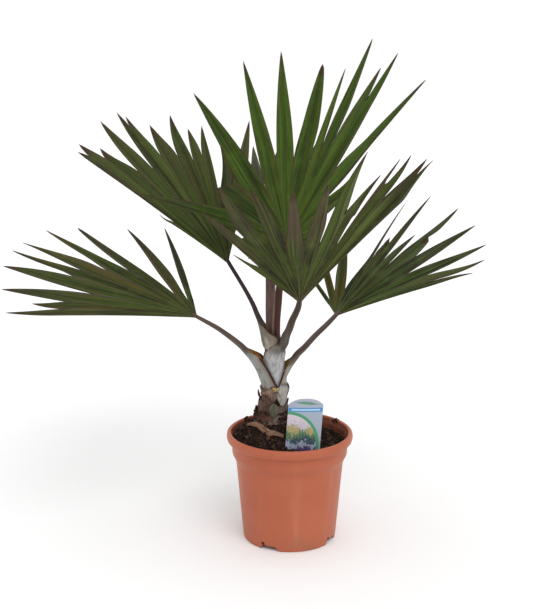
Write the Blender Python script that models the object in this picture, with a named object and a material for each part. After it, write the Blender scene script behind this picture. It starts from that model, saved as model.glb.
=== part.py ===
"""Potted red latan palm: a short leaning stem with six fan leaves, in a round terracotta-coloured pot.

Metres and degrees. +Z is up and the origin is the centre of the pot's underside. The leaves' headings
are measured from +X towards +Y, and the plant is seen in its usual view from -Y.
"""
import math

import bmesh
import bpy
from mathutils import Vector

# Finishes, as colour and roughness
FINISHES = {
    "pot_plastic": ((0.46, 0.14, 0.08), 0.45),
    "compost": ((0.030, 0.018, 0.012), 0.95),
    "stem_fibre": ((0.16, 0.11, 0.08), 0.85),
    "old_leaf_base": ((0.17, 0.16, 0.11), 0.70),
    "dry_husk": ((0.30, 0.20, 0.13), 0.80),
    "label_plastic": ((0.70, 0.72, 0.74), 0.35),
    "stalk_skin": ((0.16, 0.11, 0.10), 0.50),
    "leaf_green": ((0.060, 0.085, 0.030), 0.50),
}

# Pot; its rolled lip is given as radius and depth below the rim's top
RIM_TOP = 0.1665
LIP_PROFILE = ((0.0885, 0.0012), (0.0905, 0.0), (0.0932, 0.0008), (0.0946, 0.0030), (0.0950, 0.0062),
               (0.0946, 0.0105), (0.0925, 0.0140), (0.0872, 0.0165))
COLLAR_RADIUS = 0.0872
COLLAR_TAPER = 0.0006
COLLAR_FOOT = 0.1340
SHOULDER_RADIUS = 0.0805
SHOULDER_FOOT = 0.1220
SHOULDER_SPLAY = 0.0008
SHOULDER_ROUNDING = 0.0018
FOOT_RADIUS = 0.0700
FOOT_LAND = (0.0006, 0.0034)
FOOT_RING_INSET = 0.0042
WALL = 0.0020
INNER_CORNER = 0.0015
INNER_STEP = 0.0010
LIP_HOLLOW_DEPTH = 0.0110
PLATE_UNDERSIDE = 0.0060
PAD_RADIUS = 0.0240
PAD_SLOPE = 0.0020
POT_SEGMENTS = 72
NOTCH_COUNT = 4
NOTCH_FIRST = -27.0
NOTCH_HALF_ANGLE = 10.0

# Compost, heaped round the stem
SOIL_LEVEL = 0.1500
SOIL_HEAP = 0.0480
SOIL_HEAP_SPREAD = 0.045
SOIL_CROWN = 0.1900
SOIL_SEGMENTS = 36
SOIL_RINGS = 8
SOIL_WALL_GAP = 0.0006
SEAT_GAP = 0.0003

# Stem, from its flat cut at the compost to its top
STEM_FOOT = Vector((-0.0275, 0.000, SOIL_CROWN + SEAT_GAP))
STEM_WAIST = Vector((-0.0230, 0.000, 0.2335))
STEM_TOP = Vector((-0.0280, 0.002, 0.2900))
STEM_FLARE_RADIUS = 0.0270
STEM_WAIST_RADIUS = 0.0190
STEM_CORE_RADIUS = 0.0118
STEM_TOP_RADIUS = 0.0126
STEM_SIDES = 20
FLARE_RINGS = 6
FLARE_POWER = 3

# Leaf blades and stalks
BLADE_THICKNESS = 0.0018
BLADE_START = 0.0110
PLEAT = 0.42
EDGE_HALF_ANGLE = 5.0
NORMAL_SPREAD = 2.0
JOINED_STATIONS = 2
FREE_STATIONS = (0.22, 0.50, 0.78)
TAPER_POWER = 0.80
STALK_SIDES = 10
STALK_STATIONS = 13
STALK_DEPTH = 0.0037
STALK_TAPER = 0.30
SHEATH_SHARE = 0.40
STALK_END_GAP = 0.0015
TANGENT_STEP = 0.02

# Each leaf: where its blade springs from and how it is turned, its leaflets by angle and reach, the share
# over which neighbouring leaflets stay joined, and the way of its stalk up from the stem
LEAVES = {
    "left": dict(
        base=(-0.138, 0.013, 0.340), heading=154, rise=18, roll=-5, fold=5, sag=0.04,
        rays=(-54, -47, -39, -22, -9, -1, 10, 19, 34, 47),
        reach=(0.295, 0.250, 0.290, 0.300, 0.315, 0.325, 0.330, 0.315, 0.290, 0.295),
        joined=(0.75, 0.73, 0.52, 0.64, 0.60, 0.53, 0.46, 0.27, 0.16),
        stalk=((-0.0396, -0.0020, 0.2340), (-0.0402, -0.0020, 0.2500), (-0.0500, 0.0000, 0.2780),
               (-0.0710, 0.0000, 0.2980), (-0.1040, 0.0050, 0.3200)),
        sheath=(0.0085, 0.0033), stalk_width=0.0086),
    "upper_left": dict(
        base=(-0.094, 0.101, 0.404), heading=130, rise=42, roll=-6, fold=6, sag=0.05,
        rays=(-28, -25, -20, -12, -4, 3, 11, 15, 20, 26, 35),
        reach=(0.295, 0.305, 0.285, 0.330, 0.340, 0.305, 0.320, 0.290, 0.295, 0.260, 0.330),
        joined=(0.85, 0.82, 0.73, 0.61, 0.70, 0.68, 0.70, 0.72, 0.58, 0.35),
        stalk=((-0.0350, 0.0030, 0.2903), (-0.0375, 0.0090, 0.3010), (-0.0460, 0.0280, 0.3235),
               (-0.0663, 0.0630, 0.3648)),
        sheath=(0.0042, 0.0042), stalk_width=0.0088),
    "top": dict(
        base=(-0.005, 0.021, 0.453), heading=63, rise=58, roll=-15, fold=24, sag=0.06,
        rays=(-78, -60, -42, -26, -16, -4, 8, 18, 32, 37, 56),
        reach=(0.270, 0.152, 0.320, 0.340, 0.345, 0.315, 0.295, 0.340, 0.300, 0.330, 0.350),
        joined=(0.36, 0.34, 0.30, 0.39, 0.43, 0.40, 0.42, 0.56, 0.80, 0.42),
        stalk=((-0.0205, -0.0010, 0.2903), (-0.0199, 0.0000, 0.3080), (-0.0188, 0.0050, 0.3520),
               (-0.0152, 0.0080, 0.3860), (-0.0102, 0.0140, 0.4230)),
        sheath=(0.0048, 0.0042), stalk_width=0.0100),
    "front": dict(
        base=(0.012, -0.072, 0.383), heading=273, rise=44, roll=13, fold=19, sag=0.05,
        rays=(40, 31, 22, 15, 5, -4, -14, -23, -29, -41),
        reach=(0.158, 0.265, 0.310, 0.300, 0.285, 0.290, 0.325, 0.270, 0.295, 0.290),
        joined=(0.50, 0.42, 0.40, 0.38, 0.39, 0.38, 0.75, 0.60, 0.74),
        stalk=((-0.0200, -0.0160, 0.2340), (-0.0185, -0.0165, 0.2535), (-0.0130, -0.0235, 0.2950),
               (-0.0030, -0.0450, 0.3380)),
        sheath=(0.0080, 0.0033), stalk_width=0.0098),
    "right": dict(
        base=(0.070, 0.036, 0.337), heading=37, rise=35, roll=26, fold=17, sag=0.05,
        rays=(39, 34, 27, 16, 5, -6, -12, -22, -31, -40, -49),
        reach=(0.215, 0.240, 0.255, 0.265, 0.275, 0.275, 0.245, 0.255, 0.250, 0.245, 0.235),
        joined=(0.74, 0.63, 0.50, 0.56, 0.44, 0.47, 0.35, 0.25, 0.18, 0.16),
        stalk=((-0.0072, 0.0010, 0.2340), (-0.0068, 0.0010, 0.2500), (0.0020, 0.0030, 0.2750),
               (0.0300, 0.0150, 0.3015)),
        sheath=(0.0085, 0.0033), stalk_width=0.0086),
    "back": dict(
        base=(-0.036, 0.108, 0.443), heading=78, rise=22, roll=-29, fold=21, sag=0.06,
        rays=(-31, -15, -8, 0, 14, 25, 36, 47),
        reach=(0.235, 0.375, 0.320, 0.275, 0.310, 0.310, 0.305, 0.300),
        joined=(0.42, 0.45, 0.48, 0.48, 0.46, 0.44, 0.40),
        stalk=((-0.0275, 0.0095, 0.2903), (-0.0295, 0.0125, 0.3060), (-0.0320, 0.0350, 0.3448),
               (-0.0330, 0.0700, 0.3910)),
        sheath=(0.0042, 0.0038), stalk_width=0.0092),
}

# Unopened spear leaf between the two upright stalks
SPEAR_FOOT = Vector((-0.0272, -0.0066, 0.2903))
SPEAR_TIP = Vector((-0.0220, 0.0030, 0.4300))
SPEAR_RADIUS = 0.0026
SPEAR_SIDES = 8
SPEAR_SHARES = ((0.0, 0.8), (0.25, 1.0), (0.6, 0.85), (0.85, 0.5), (1.0, 0.12))

# Old leaf base on the stem's foot, and a dry husk lying on the compost
OLD_BASE_HEIGHT = 0.2060
OLD_BASE_OFFSET = 0.0020
OLD_BASE_RADII = (0.0072, 0.0022, 0.0115)
HUSK_CORNERS = ((-0.062, -0.008), (-0.034, -0.036), (-0.010, -0.040))
HUSK_HALF_WIDTH = 0.0035
HUSK_THICKNESS = 0.0012
HUSK_LIFT = 0.0018

# Care label, from the compost up
LABEL_CENTRE = (0.0172, -0.0570)
LABEL_WIDTH = 0.0510
LABEL_TOP = 0.2330
LABEL_SHOULDER = 0.2240
LABEL_THICKNESS = 0.0008
LABEL_LEAN = 0.006
LABEL_ARCH_POWER = 2.6
LABEL_ARCH_STEPS = 12
LABEL_SOIL_GAP = 0.0006


# Scene and materials
def clear_scene():
    for item in list(bpy.data.objects):
        bpy.data.objects.remove(item, do_unlink=True)


def make_material(name):
    colour, roughness = FINISHES[name]
    material = bpy.data.materials.new(name)
    material.use_nodes = True
    shader = material.node_tree.nodes["Principled BSDF"]
    shader.inputs["Base Color"].default_value = (*colour, 1.0)
    shader.inputs["Roughness"].default_value = roughness
    shader.inputs["Metallic"].default_value = 0.0
    return material


def add_object(name, mesh_data, material, smooth_angle=None):
    mesh = bpy.data.meshes.new(name)
    bmesh.ops.recalc_face_normals(mesh_data, faces=mesh_data.faces)
    mesh_data.to_mesh(mesh)
    mesh_data.free()
    mesh.materials.append(material)
    if smooth_angle is not None:
        mesh.shade_smooth()
        mesh.set_sharp_from_angle(angle=math.radians(smooth_angle))
    piece = bpy.data.objects.new(name, mesh)
    bpy.context.scene.collection.objects.link(piece)
    return piece


# Shape helpers
def stack_rings(mesh_data, rings, close_start=True, close_end=True):
    """Joins closed rings of vertices with quads, and fills the first and last ring."""
    count = len(rings[0])
    for lower, upper in zip(rings, rings[1:]):
        for i in range(count):
            j = (i + 1) % count
            mesh_data.faces.new((lower[i], lower[j], upper[j], upper[i]))
    if close_start:
        mesh_data.faces.new(rings[0])
    if close_end:
        mesh_data.faces.new(rings[-1])


def ring_around(mesh_data, centre, side, other, half_width, half_depth, sides):
    ring = []
    for i in range(sides):
        angle = math.tau * i / sides
        offset = side * (half_width * math.cos(angle)) + other * (half_depth * math.sin(angle))
        ring.append(mesh_data.verts.new(centre + offset))
    return ring


def soil_height(x, y):
    """Level near the wall, heaped round the stem and flat under its cut."""
    distance = math.hypot(x - STEM_FOOT.x, y - STEM_FOOT.y)
    heap = SOIL_HEAP * math.exp(-((distance / SOIL_HEAP_SPREAD) ** 2))
    return min(SOIL_CROWN, SOIL_LEVEL + heap)


def stem_centre_and_radius(z):
    """Centre line and radius of the stem below its waist."""
    t = (z - STEM_FOOT.z) / (STEM_WAIST.z - STEM_FOOT.z)
    centre = STEM_FOOT.lerp(STEM_WAIST, t)
    radius = STEM_WAIST_RADIUS + (STEM_FLARE_RADIUS - STEM_WAIST_RADIUS) * (1.0 - t) ** FLARE_POWER
    return centre, radius


# Pot
def pot_profile():
    """Outer side from the lip down to the foot, as radius and height."""
    lip = [(radius, RIM_TOP - depth) for radius, depth in LIP_PROFILE]
    return lip + [
        (COLLAR_RADIUS - COLLAR_TAPER, COLLAR_FOOT),
        (SHOULDER_RADIUS + SHOULDER_SPLAY, SHOULDER_FOOT + SHOULDER_ROUNDING),
        (SHOULDER_RADIUS, SHOULDER_FOOT - SHOULDER_ROUNDING),
        (FOOT_RADIUS, PLATE_UNDERSIDE + WALL),
    ]


def pot_inside():
    """Inner side from the base plate up to the lip."""
    return (
        (FOOT_RADIUS - WALL - INNER_CORNER, PLATE_UNDERSIDE + WALL),
        (SHOULDER_RADIUS - WALL, SHOULDER_FOOT - INNER_STEP),
        (COLLAR_RADIUS - WALL - INNER_STEP, COLLAR_FOOT + INNER_STEP),
        (COLLAR_RADIUS - WALL, RIM_TOP - LIP_HOLLOW_DEPTH),
    )


def in_notch(angle):
    """True where the foot ring is cut away for drainage; the angle runs from -Y towards +X."""
    period = 360.0 / NOTCH_COUNT
    offset = (angle - NOTCH_FIRST + period / 2) % period - period / 2
    return abs(offset) <= NOTCH_HALF_ANGLE


def build_pot():
    mesh_data = bmesh.new()
    step = 360.0 / POT_SEGMENTS
    angles = [NOTCH_FIRST + step * (i + 0.5) for i in range(POT_SEGMENTS)]

    def add_ring(radius, height, foot=False):
        ring = []
        for angle in angles:
            turn = math.radians(angle)
            z = PLATE_UNDERSIDE if foot and in_notch(angle) else height
            ring.append(mesh_data.verts.new((radius * math.sin(turn), -radius * math.cos(turn), z)))
        return ring

    rings = [add_ring(radius, z) for radius, z in pot_profile()]
    rings += [add_ring(FOOT_RADIUS - inset, 0.0, foot=True) for inset in FOOT_LAND]
    rings.append(add_ring(FOOT_RADIUS - FOOT_RING_INSET, PLATE_UNDERSIDE))
    rings.append(add_ring(PAD_RADIUS + PAD_SLOPE, PLATE_UNDERSIDE))
    rings.append(add_ring(PAD_RADIUS, 0.0))
    stack_rings(mesh_data, rings, close_start=False)
    inside = [add_ring(radius, z) for radius, z in pot_inside()]
    stack_rings(mesh_data, inside + [rings[0]], close_end=False)
    return add_object("pot", mesh_data, make_material("pot_plastic"), smooth_angle=35)


# Compost
def build_soil():
    mesh_data = bmesh.new()
    side = [(radius - SOIL_WALL_GAP, z) for radius, z in pot_inside()[:3]]
    side[0] = (side[0][0], side[0][1] + SEAT_GAP)
    edge = COLLAR_RADIUS - WALL - INNER_STEP

    def add_ring(radius, height=None):
        ring = []
        for i in range(SOIL_SEGMENTS):
            turn = math.tau * i / SOIL_SEGMENTS
            x, y = radius * math.cos(turn), radius * math.sin(turn)
            ring.append(mesh_data.verts.new((x, y, soil_height(x, y) if height is None else height)))
        return ring

    rings = [add_ring(radius, z) for radius, z in side]
    rings += [add_ring(edge * (SOIL_RINGS - i) / SOIL_RINGS) for i in range(SOIL_RINGS)]
    stack_rings(mesh_data, rings, close_end=False)
    centre = mesh_data.verts.new((0.0, 0.0, soil_height(0.0, 0.0)))
    last = rings[-1]
    for i in range(SOIL_SEGMENTS):
        mesh_data.faces.new((last[i], last[(i + 1) % SOIL_SEGMENTS], centre))
    return add_object("soil", mesh_data, make_material("compost"), smooth_angle=40)


# Stem
def build_stem():
    mesh_data = bmesh.new()
    side, depth = Vector((1, 0, 0)), Vector((0, 1, 0))
    rings = []
    for i in range(FLARE_RINGS):
        z = STEM_FOOT.z + (STEM_WAIST.z - STEM_FOOT.z) * i / (FLARE_RINGS - 1)
        centre, radius = stem_centre_and_radius(z)
        rings.append(ring_around(mesh_data, centre, side, depth, radius, radius, STEM_SIDES))
    for t in (0.0, 0.5, 1.0):
        centre = STEM_WAIST.lerp(STEM_TOP, t)
        radius = STEM_CORE_RADIUS + (STEM_TOP_RADIUS - STEM_CORE_RADIUS) * t
        rings.append(ring_around(mesh_data, centre, side, depth, radius, radius, STEM_SIDES))
    stack_rings(mesh_data, rings)
    return add_object("trunk", mesh_data, make_material("stem_fibre"), smooth_angle=40)


def build_old_leaf_base():
    """A flattened oval that leans on the front of the stem's flare."""
    centre, radius = stem_centre_and_radius(OLD_BASE_HEIGHT)
    lower, lower_radius = stem_centre_and_radius(OLD_BASE_HEIGHT - OLD_BASE_RADII[2])
    mesh_data = bmesh.new()
    bmesh.ops.create_uvsphere(mesh_data, u_segments=12, v_segments=8, radius=1.0)
    for vert in mesh_data.verts:
        lean = (lower_radius - radius) * max(0.0, -vert.co.z)
        vert.co = Vector((vert.co.x * OLD_BASE_RADII[0], vert.co.y * OLD_BASE_RADII[1] - lean,
                          vert.co.z * OLD_BASE_RADII[2]))
    front = -radius - OLD_BASE_RADII[1] - 2 * SEAT_GAP
    place = Vector((centre.x + OLD_BASE_OFFSET, front, OLD_BASE_HEIGHT))
    bmesh.ops.translate(mesh_data, verts=mesh_data.verts, vec=place)
    return add_object("old_leaf_base", mesh_data, make_material("old_leaf_base"), smooth_angle=60)


def build_dry_husk():
    """A bent strip that lies on the compost in front of the stem."""
    mesh_data = bmesh.new()
    corners = [Vector((x, y, 0.0)) for x, y in HUSK_CORNERS]
    points = [corners[0].lerp(corners[1], t) for t in (0.0, 0.35, 0.7)]
    points += [corners[1].lerp(corners[2], t) for t in (0.0, 0.35, 0.7, 1.0)]
    rings = []
    for i, point in enumerate(points):
        along = (points[min(i + 1, len(points) - 1)] - points[max(i - 1, 0)]).normalized()
        across = Vector((-along.y, along.x, 0.0)) * HUSK_HALF_WIDTH
        ring = []
        for offset, lift in ((across, 0.0), (-across, 0.0), (-across, HUSK_THICKNESS), (across, HUSK_THICKNESS)):
            x, y = point.x + offset.x, point.y + offset.y
            ring.append(mesh_data.verts.new((x, y, soil_height(x, y) + HUSK_LIFT + lift)))
        rings.append(ring)
    stack_rings(mesh_data, rings)
    return add_object("dry_husk", mesh_data, make_material("dry_husk"))


# Leaves
def leaf_axes(leaf):
    """Rib direction, side direction and upper-side normal of a blade."""
    heading, rise, roll = (math.radians(leaf[key]) for key in ("heading", "rise", "roll"))
    rib = Vector((math.cos(rise) * math.cos(heading), math.cos(rise) * math.sin(heading), math.sin(rise)))
    up = Vector((0, 0, 1))
    level_normal = (up - rib * up.dot(rib)).normalized()
    level_side = rib.cross(level_normal)
    normal = level_normal * math.cos(roll) + level_side * math.sin(roll)
    return rib, rib.cross(normal), normal


def ray_direction(leaf, angle):
    """Direction of a leaflet; both halves of the fan rise from the rib by the fold angle."""
    rib, side, normal = leaf_axes(leaf)
    turn, fold = math.radians(angle), math.radians(leaf["fold"])
    outward = side * (math.cos(fold) * math.copysign(1.0, turn)) + normal * math.sin(fold)
    return rib * math.cos(turn) + outward * math.sin(abs(turn))


def blade_point(leaf, angle, radius, reach):
    drop = leaf["sag"] * radius * radius / reach
    return Vector(leaf["base"]) + ray_direction(leaf, angle) * radius - Vector((0, 0, drop))


def blade_normal(leaf, angle):
    spread = ray_direction(leaf, angle + NORMAL_SPREAD) - ray_direction(leaf, angle - NORMAL_SPREAD)
    return spread.cross(ray_direction(leaf, angle)).normalized()


def seam_angles(rays):
    """The outer margins, and the seams midway between neighbouring leaflets."""
    sign = math.copysign(1.0, rays[1] - rays[0])
    seams = [(a + b) / 2 for a, b in zip(rays, rays[1:])]
    return [rays[0] - sign * EDGE_HALF_ANGLE] + seams + [rays[-1] + sign * EDGE_HALF_ANGLE]


def seam_reaches(leaf):
    reach = leaf["reach"]
    return [reach[0]] + [(a + b) / 2 for a, b in zip(reach, reach[1:])] + [reach[-1]]


def notch_radius(leaf, seam):
    """How far out the leaflets on both sides of a seam stay joined; an outer margin follows its neighbour."""
    reaches, joined = leaf["reach"], leaf["joined"]
    shorter = min(reaches[max(seam - 1, 0)], reaches[min(seam, len(reaches) - 1)])
    share = joined[min(max(seam - 1, 0), len(joined) - 1)]
    return shorter * share


def build_blade(name, leaf, material):
    """A pleated plate: leaflets share their seams up to the notch and taper alone from there."""
    mesh_data = bmesh.new()
    half = BLADE_THICKNESS / 2
    rays, reaches = leaf["rays"], leaf["reach"]
    seams, seam_reach = seam_angles(rays), seam_reaches(leaf)
    notches = [notch_radius(leaf, i) for i in range(len(seams))]

    def pair(point, normal):
        return mesh_data.verts.new(point + normal * half), mesh_data.verts.new(point - normal * half)

    def joined_radius(notch, station):
        return BLADE_START + (notch - BLADE_START) * station / JOINED_STATIONS

    seam_pairs = []
    for angle, reach, notch in zip(seams, seam_reach, notches):
        radii = [joined_radius(notch, k) for k in range(JOINED_STATIONS + 1)]
        seam_pairs.append([pair(blade_point(leaf, angle, r, reach), blade_normal(leaf, angle)) for r in radii])

    def quad(a, b):
        """Upper, lower faces between two stations of two neighbouring lines."""
        mesh_data.faces.new((a[0][0], a[1][0], b[1][0], b[0][0]))
        mesh_data.faces.new((a[0][1], b[0][1], b[1][1], a[1][1]))

    def wall(line):
        for near, far in zip(line, line[1:]):
            mesh_data.faces.new((near[0], far[0], far[1], near[1]))

    for i, (angle, reach) in enumerate(zip(rays, reaches)):
        normal = blade_normal(leaf, angle)
        side = normal.cross(ray_direction(leaf, angle)).normalized()
        half_angle = math.radians(abs(seams[i + 1] - seams[i]) / 2)
        mean_notch = (notches[i] + notches[i + 1]) / 2
        middle = []
        for k in range(JOINED_STATIONS + 1):
            radius = joined_radius(mean_notch, k)
            depth = PLEAT * radius * math.tan(half_angle) * min(1.0, k)
            middle.append(pair(blade_point(leaf, angle, radius, reach) - normal * depth, normal))
        widths = []
        for seam in (i, i + 1):
            notch_point = blade_point(leaf, seams[seam], notches[seam], seam_reach[seam])
            axis_point = blade_point(leaf, angle, notches[seam], reach)
            widths.append((notch_point - axis_point).dot(side))
        edges = []
        for seam, width in zip((i, i + 1), widths):
            line = []
            for share in FREE_STATIONS:
                radius = notches[seam] + (reach - notches[seam]) * share
                across = side * (width * (1 - share) ** TAPER_POWER)
                line.append(pair(blade_point(leaf, angle, radius, reach) + across, normal))
            edges.append(line)
        mean_width = (abs(widths[0]) + abs(widths[1])) / 2
        for share in FREE_STATIONS:
            radius = mean_notch + (reach - mean_notch) * share
            depth = PLEAT * mean_width * (1 - share) ** TAPER_POWER
            middle.append(pair(blade_point(leaf, angle, radius, reach) - normal * depth, normal))
        tip = pair(blade_point(leaf, angle, reach, reach), normal * 0.5)
        left = seam_pairs[i] + edges[0]
        right = seam_pairs[i + 1] + edges[1]
        for near in range(len(middle) - 1):
            quad((left[near], middle[near]), (left[near + 1], middle[near + 1]))
            quad((middle[near], right[near]), (middle[near + 1], right[near + 1]))
        for a, b in ((left[-1], middle[-1]), (middle[-1], right[-1])):
            mesh_data.faces.new((a[0], b[0], tip[0]))
            mesh_data.faces.new((a[1], tip[1], b[1]))
        start = 0 if i == 0 else JOINED_STATIONS
        wall(left[start:] + [tip])
        start = 0 if i == len(rays) - 1 else JOINED_STATIONS
        wall(right[start:] + [tip])
        wall([left[0], middle[0], right[0]])
    return add_object("frond_" + name, mesh_data, material)


def stalk_point(way, t):
    """Point on a smooth curve through the way's points, t from 0 to 1."""
    place = t * (len(way) - 1)
    i = min(int(place), len(way) - 2)
    u = place - i
    before = way[i - 1] if i > 0 else way[i] * 2 - way[i + 1]
    after = way[i + 2] if i + 2 < len(way) else way[i + 1] * 2 - way[i]
    start_slope = (way[i + 1] - before) / 2
    end_slope = (after - way[i]) / 2
    start_share = 2 * u**3 - 3 * u**2 + 1
    start_part = way[i] * start_share + start_slope * (u**3 - 2 * u**2 + u)
    end_part = way[i + 1] * (1 - start_share) + end_slope * (u**3 - u**2)
    return start_part + end_part


def build_stalk(name, leaf, material):
    """One tapering limb from its sheath on the stem to the foot of its blade."""
    mesh_data = bmesh.new()
    up = Vector((0, 0, 1))
    rib, side, _ = leaf_axes(leaf)
    way = [Vector(point) for point in leaf["stalk"]]
    way.append(Vector(leaf["base"]) + rib * (BLADE_START - STALK_END_GAP))
    outward = Vector((way[0].x - STEM_WAIST.x, way[0].y - STEM_WAIST.y, 0.0))
    foot_side = up.cross(outward).normalized()
    if foot_side.dot(side) < 0:
        foot_side.negate()
    sheath_width, sheath_depth = leaf["sheath"]
    rings = []
    for k in range(STALK_STATIONS):
        t = k / (STALK_STATIONS - 1)
        centre = stalk_point(way, t)
        ahead, behind = stalk_point(way, min(t + TANGENT_STEP, 1.0)), stalk_point(way, max(t - TANGENT_STEP, 0.0))
        tangent = (ahead - behind).normalized() if k > 0 else up
        across = foot_side.lerp(side, t)
        across = (across - tangent * across.dot(tangent)).normalized()
        narrowing = min(1.0, t / SHEATH_SHARE)
        narrowing = narrowing * narrowing * (3 - 2 * narrowing)
        stalk_half = leaf["stalk_width"] / 2
        width = sheath_width + (stalk_half - sheath_width) * narrowing - STALK_TAPER * stalk_half * t
        depth = sheath_depth + (STALK_DEPTH - sheath_depth) * narrowing - STALK_TAPER * STALK_DEPTH * t
        rings.append(ring_around(mesh_data, centre, across, tangent.cross(across), width, depth, STALK_SIDES))
    stack_rings(mesh_data, rings)
    return add_object("stalk_" + name, mesh_data, material, smooth_angle=50)


def build_spear(material):
    """A slim spindle that swells a little above its foot and ends in a point."""
    mesh_data = bmesh.new()
    axis = (SPEAR_TIP - SPEAR_FOOT).normalized()
    side = Vector((0, 1, 0)).cross(axis).normalized()
    depth = axis.cross(side)
    rings = []
    for t, share in SPEAR_SHARES:
        radius, centre = SPEAR_RADIUS * share, SPEAR_FOOT.lerp(SPEAR_TIP, t)
        axes = (Vector((1, 0, 0)), Vector((0, 1, 0))) if t == 0.0 else (side, depth)
        rings.append(ring_around(mesh_data, centre, *axes, radius, radius, SPEAR_SIDES))
    stack_rings(mesh_data, rings)
    return add_object("spear_leaf", mesh_data, material, smooth_angle=50)


# Care label
def build_label():
    """A thin plate with rounded upper corners and a low arch on top; its foot follows the compost."""
    mesh_data = bmesh.new()
    half = LABEL_WIDTH / 2
    outline = []
    for i in range(LABEL_ARCH_STEPS + 1):
        share = -1 + 2 * i / LABEL_ARCH_STEPS
        arch = LABEL_SHOULDER + (LABEL_TOP - LABEL_SHOULDER) * (1 - abs(share) ** LABEL_ARCH_POWER)
        outline.append((share * half, arch))
    for share in (1.0, 0.5, 0.0, -0.5, -1.0):
        x = share * half
        ground = soil_height(LABEL_CENTRE[0] + x, LABEL_CENTRE[1] + LABEL_THICKNESS)
        outline.append((x, ground + LABEL_SOIL_GAP))
    rings = []
    for offset in (-LABEL_THICKNESS / 2, LABEL_THICKNESS / 2):
        ring = []
        for x, z in outline:
            lean = LABEL_LEAN * (z - SOIL_LEVEL) / (LABEL_TOP - SOIL_LEVEL)
            ring.append(mesh_data.verts.new((LABEL_CENTRE[0] + x + lean, LABEL_CENTRE[1] + offset + lean, z)))
        rings.append(ring)
    stack_rings(mesh_data, rings)
    return add_object("care_label", mesh_data, make_material("label_plastic"))


clear_scene()
build_pot()
build_soil()
build_stem()
build_old_leaf_base()
build_dry_husk()
build_label()
stalk_skin = make_material("stalk_skin")
leaf_green = make_material("leaf_green")
build_spear(leaf_green)
for leaf_name, leaf_data in LEAVES.items():
    build_stalk(leaf_name, leaf_data, stalk_skin)
    build_blade(leaf_name, leaf_data, leaf_green)
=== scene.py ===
import math
import random

import bmesh
import bpy
from mathutils import Matrix, Vector, noise


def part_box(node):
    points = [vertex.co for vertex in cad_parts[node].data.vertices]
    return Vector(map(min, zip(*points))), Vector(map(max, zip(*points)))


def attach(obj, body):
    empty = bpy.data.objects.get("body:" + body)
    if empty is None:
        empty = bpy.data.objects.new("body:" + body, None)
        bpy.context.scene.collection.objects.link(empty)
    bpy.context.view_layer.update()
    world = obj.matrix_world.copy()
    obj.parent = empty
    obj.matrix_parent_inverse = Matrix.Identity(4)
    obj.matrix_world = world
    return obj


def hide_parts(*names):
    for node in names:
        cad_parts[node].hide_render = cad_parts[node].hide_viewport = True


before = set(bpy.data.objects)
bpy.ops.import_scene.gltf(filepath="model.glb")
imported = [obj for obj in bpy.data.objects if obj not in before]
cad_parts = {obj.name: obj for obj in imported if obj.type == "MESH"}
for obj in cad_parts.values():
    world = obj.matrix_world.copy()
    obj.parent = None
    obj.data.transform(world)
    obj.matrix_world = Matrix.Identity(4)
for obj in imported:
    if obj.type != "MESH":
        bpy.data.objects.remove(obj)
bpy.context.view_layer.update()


# The pot: one moulding in terracotta-coloured plastic with a rolled lip, a collar that steps down to a
# tapering wall, and a foot ring cut by four drainage notches. The plant and its compost sit in it.
RIM_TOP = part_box("pot")[1][2]
FOOT_RADIUS = 0.0700
PLATE_UNDERSIDE = 0.0060
PLATE_TOP = 0.0080
PAD_RADIUS = 0.0240
NOTCH_TURNS = [math.radians(-27 + 90 * k) for k in range(4)]
NOTCH_HALF_TURN = math.radians(10.5)
NOTCH_CORNER = math.radians(1.6)
POT_SIDES = 224


def paint(red, green, blue):
    """A colour given as it shows on a screen, 0 to 255, in the renderer's own units."""
    channels = [value / 255 for value in (red, green, blue)]
    return tuple(c / 12.92 if c < 0.04 else ((c + 0.055) / 1.055) ** 2.4 for c in channels) + (1.0,)


def add(tree, kind, wiring=None, **settings):
    """Adds a node, with its inputs given by name or number as values or as other nodes' outputs."""
    made = tree.nodes.new(kind)
    for key, value in settings.items():
        setattr(made, key, value)
    for key, value in (wiring or {}).items():
        if isinstance(value, bpy.types.NodeSocket):
            tree.links.new(value, made.inputs[key])
        else:
            made.inputs[key].default_value = value
    return made


def new_finish(name, roughness, **shine):
    """A material with its shader, and the tree to build its pattern in."""
    material = bpy.data.materials.new(name)
    material.use_nodes = True
    tree = material.node_tree
    shader = tree.nodes["Principled BSDF"]
    shader.inputs["Roughness"].default_value = roughness
    for key, value in shine.items():
        shader.inputs[key.replace("_", " ")].default_value = value
    return material, tree, shader


def grain(tree, place, scale, detail=4.0, stretch=(1, 1, 1), turn=(0, 0, 0), roughness=0.55):
    """Noise over a place, drawn out along the axes where stretch is small."""
    mapped = add(tree, "ShaderNodeMapping", {"Vector": place, "Scale": stretch, "Rotation": turn})
    made = add(tree, "ShaderNodeTexNoise", {"Vector": mapped.outputs["Vector"], "Scale": scale,
                                            "Detail": detail, "Roughness": roughness})
    return made.outputs["Fac"]


def steps(tree, factor, *stops):
    """A colour ramp through (position, colour) stops."""
    ramp = add(tree, "ShaderNodeValToRGB", {"Fac": factor})
    points = ramp.color_ramp.elements
    while len(points) < len(stops):
        points.new(0.5)
    for point, (position, colour) in zip(points, stops):
        point.position = position
        point.color = colour if len(tuple(colour)) == 4 else (*colour, 1.0)
    return ramp.outputs["Color"]


def blend(tree, factor, first, second, way="MIX"):
    made = add(tree, "ShaderNodeMix", {0: factor, 6: first, 7: second}, data_type="RGBA", blend_type=way)
    return made.outputs[2]


def sums(tree, operation, first, second=0.0, third=0.0):
    return add(tree, "ShaderNodeMath", {0: first, 1: second, 2: third}, operation=operation).outputs[0]


def window(tree, value, low, high):
    """0 below low, 1 above high and a smooth step between; the other way round where low is above high."""
    made = add(tree, "ShaderNodeMapRange", {"Value": value, "From Min": low, "From Max": high},
               interpolation_type="SMOOTHSTEP")
    return made.outputs["Result"]


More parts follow.
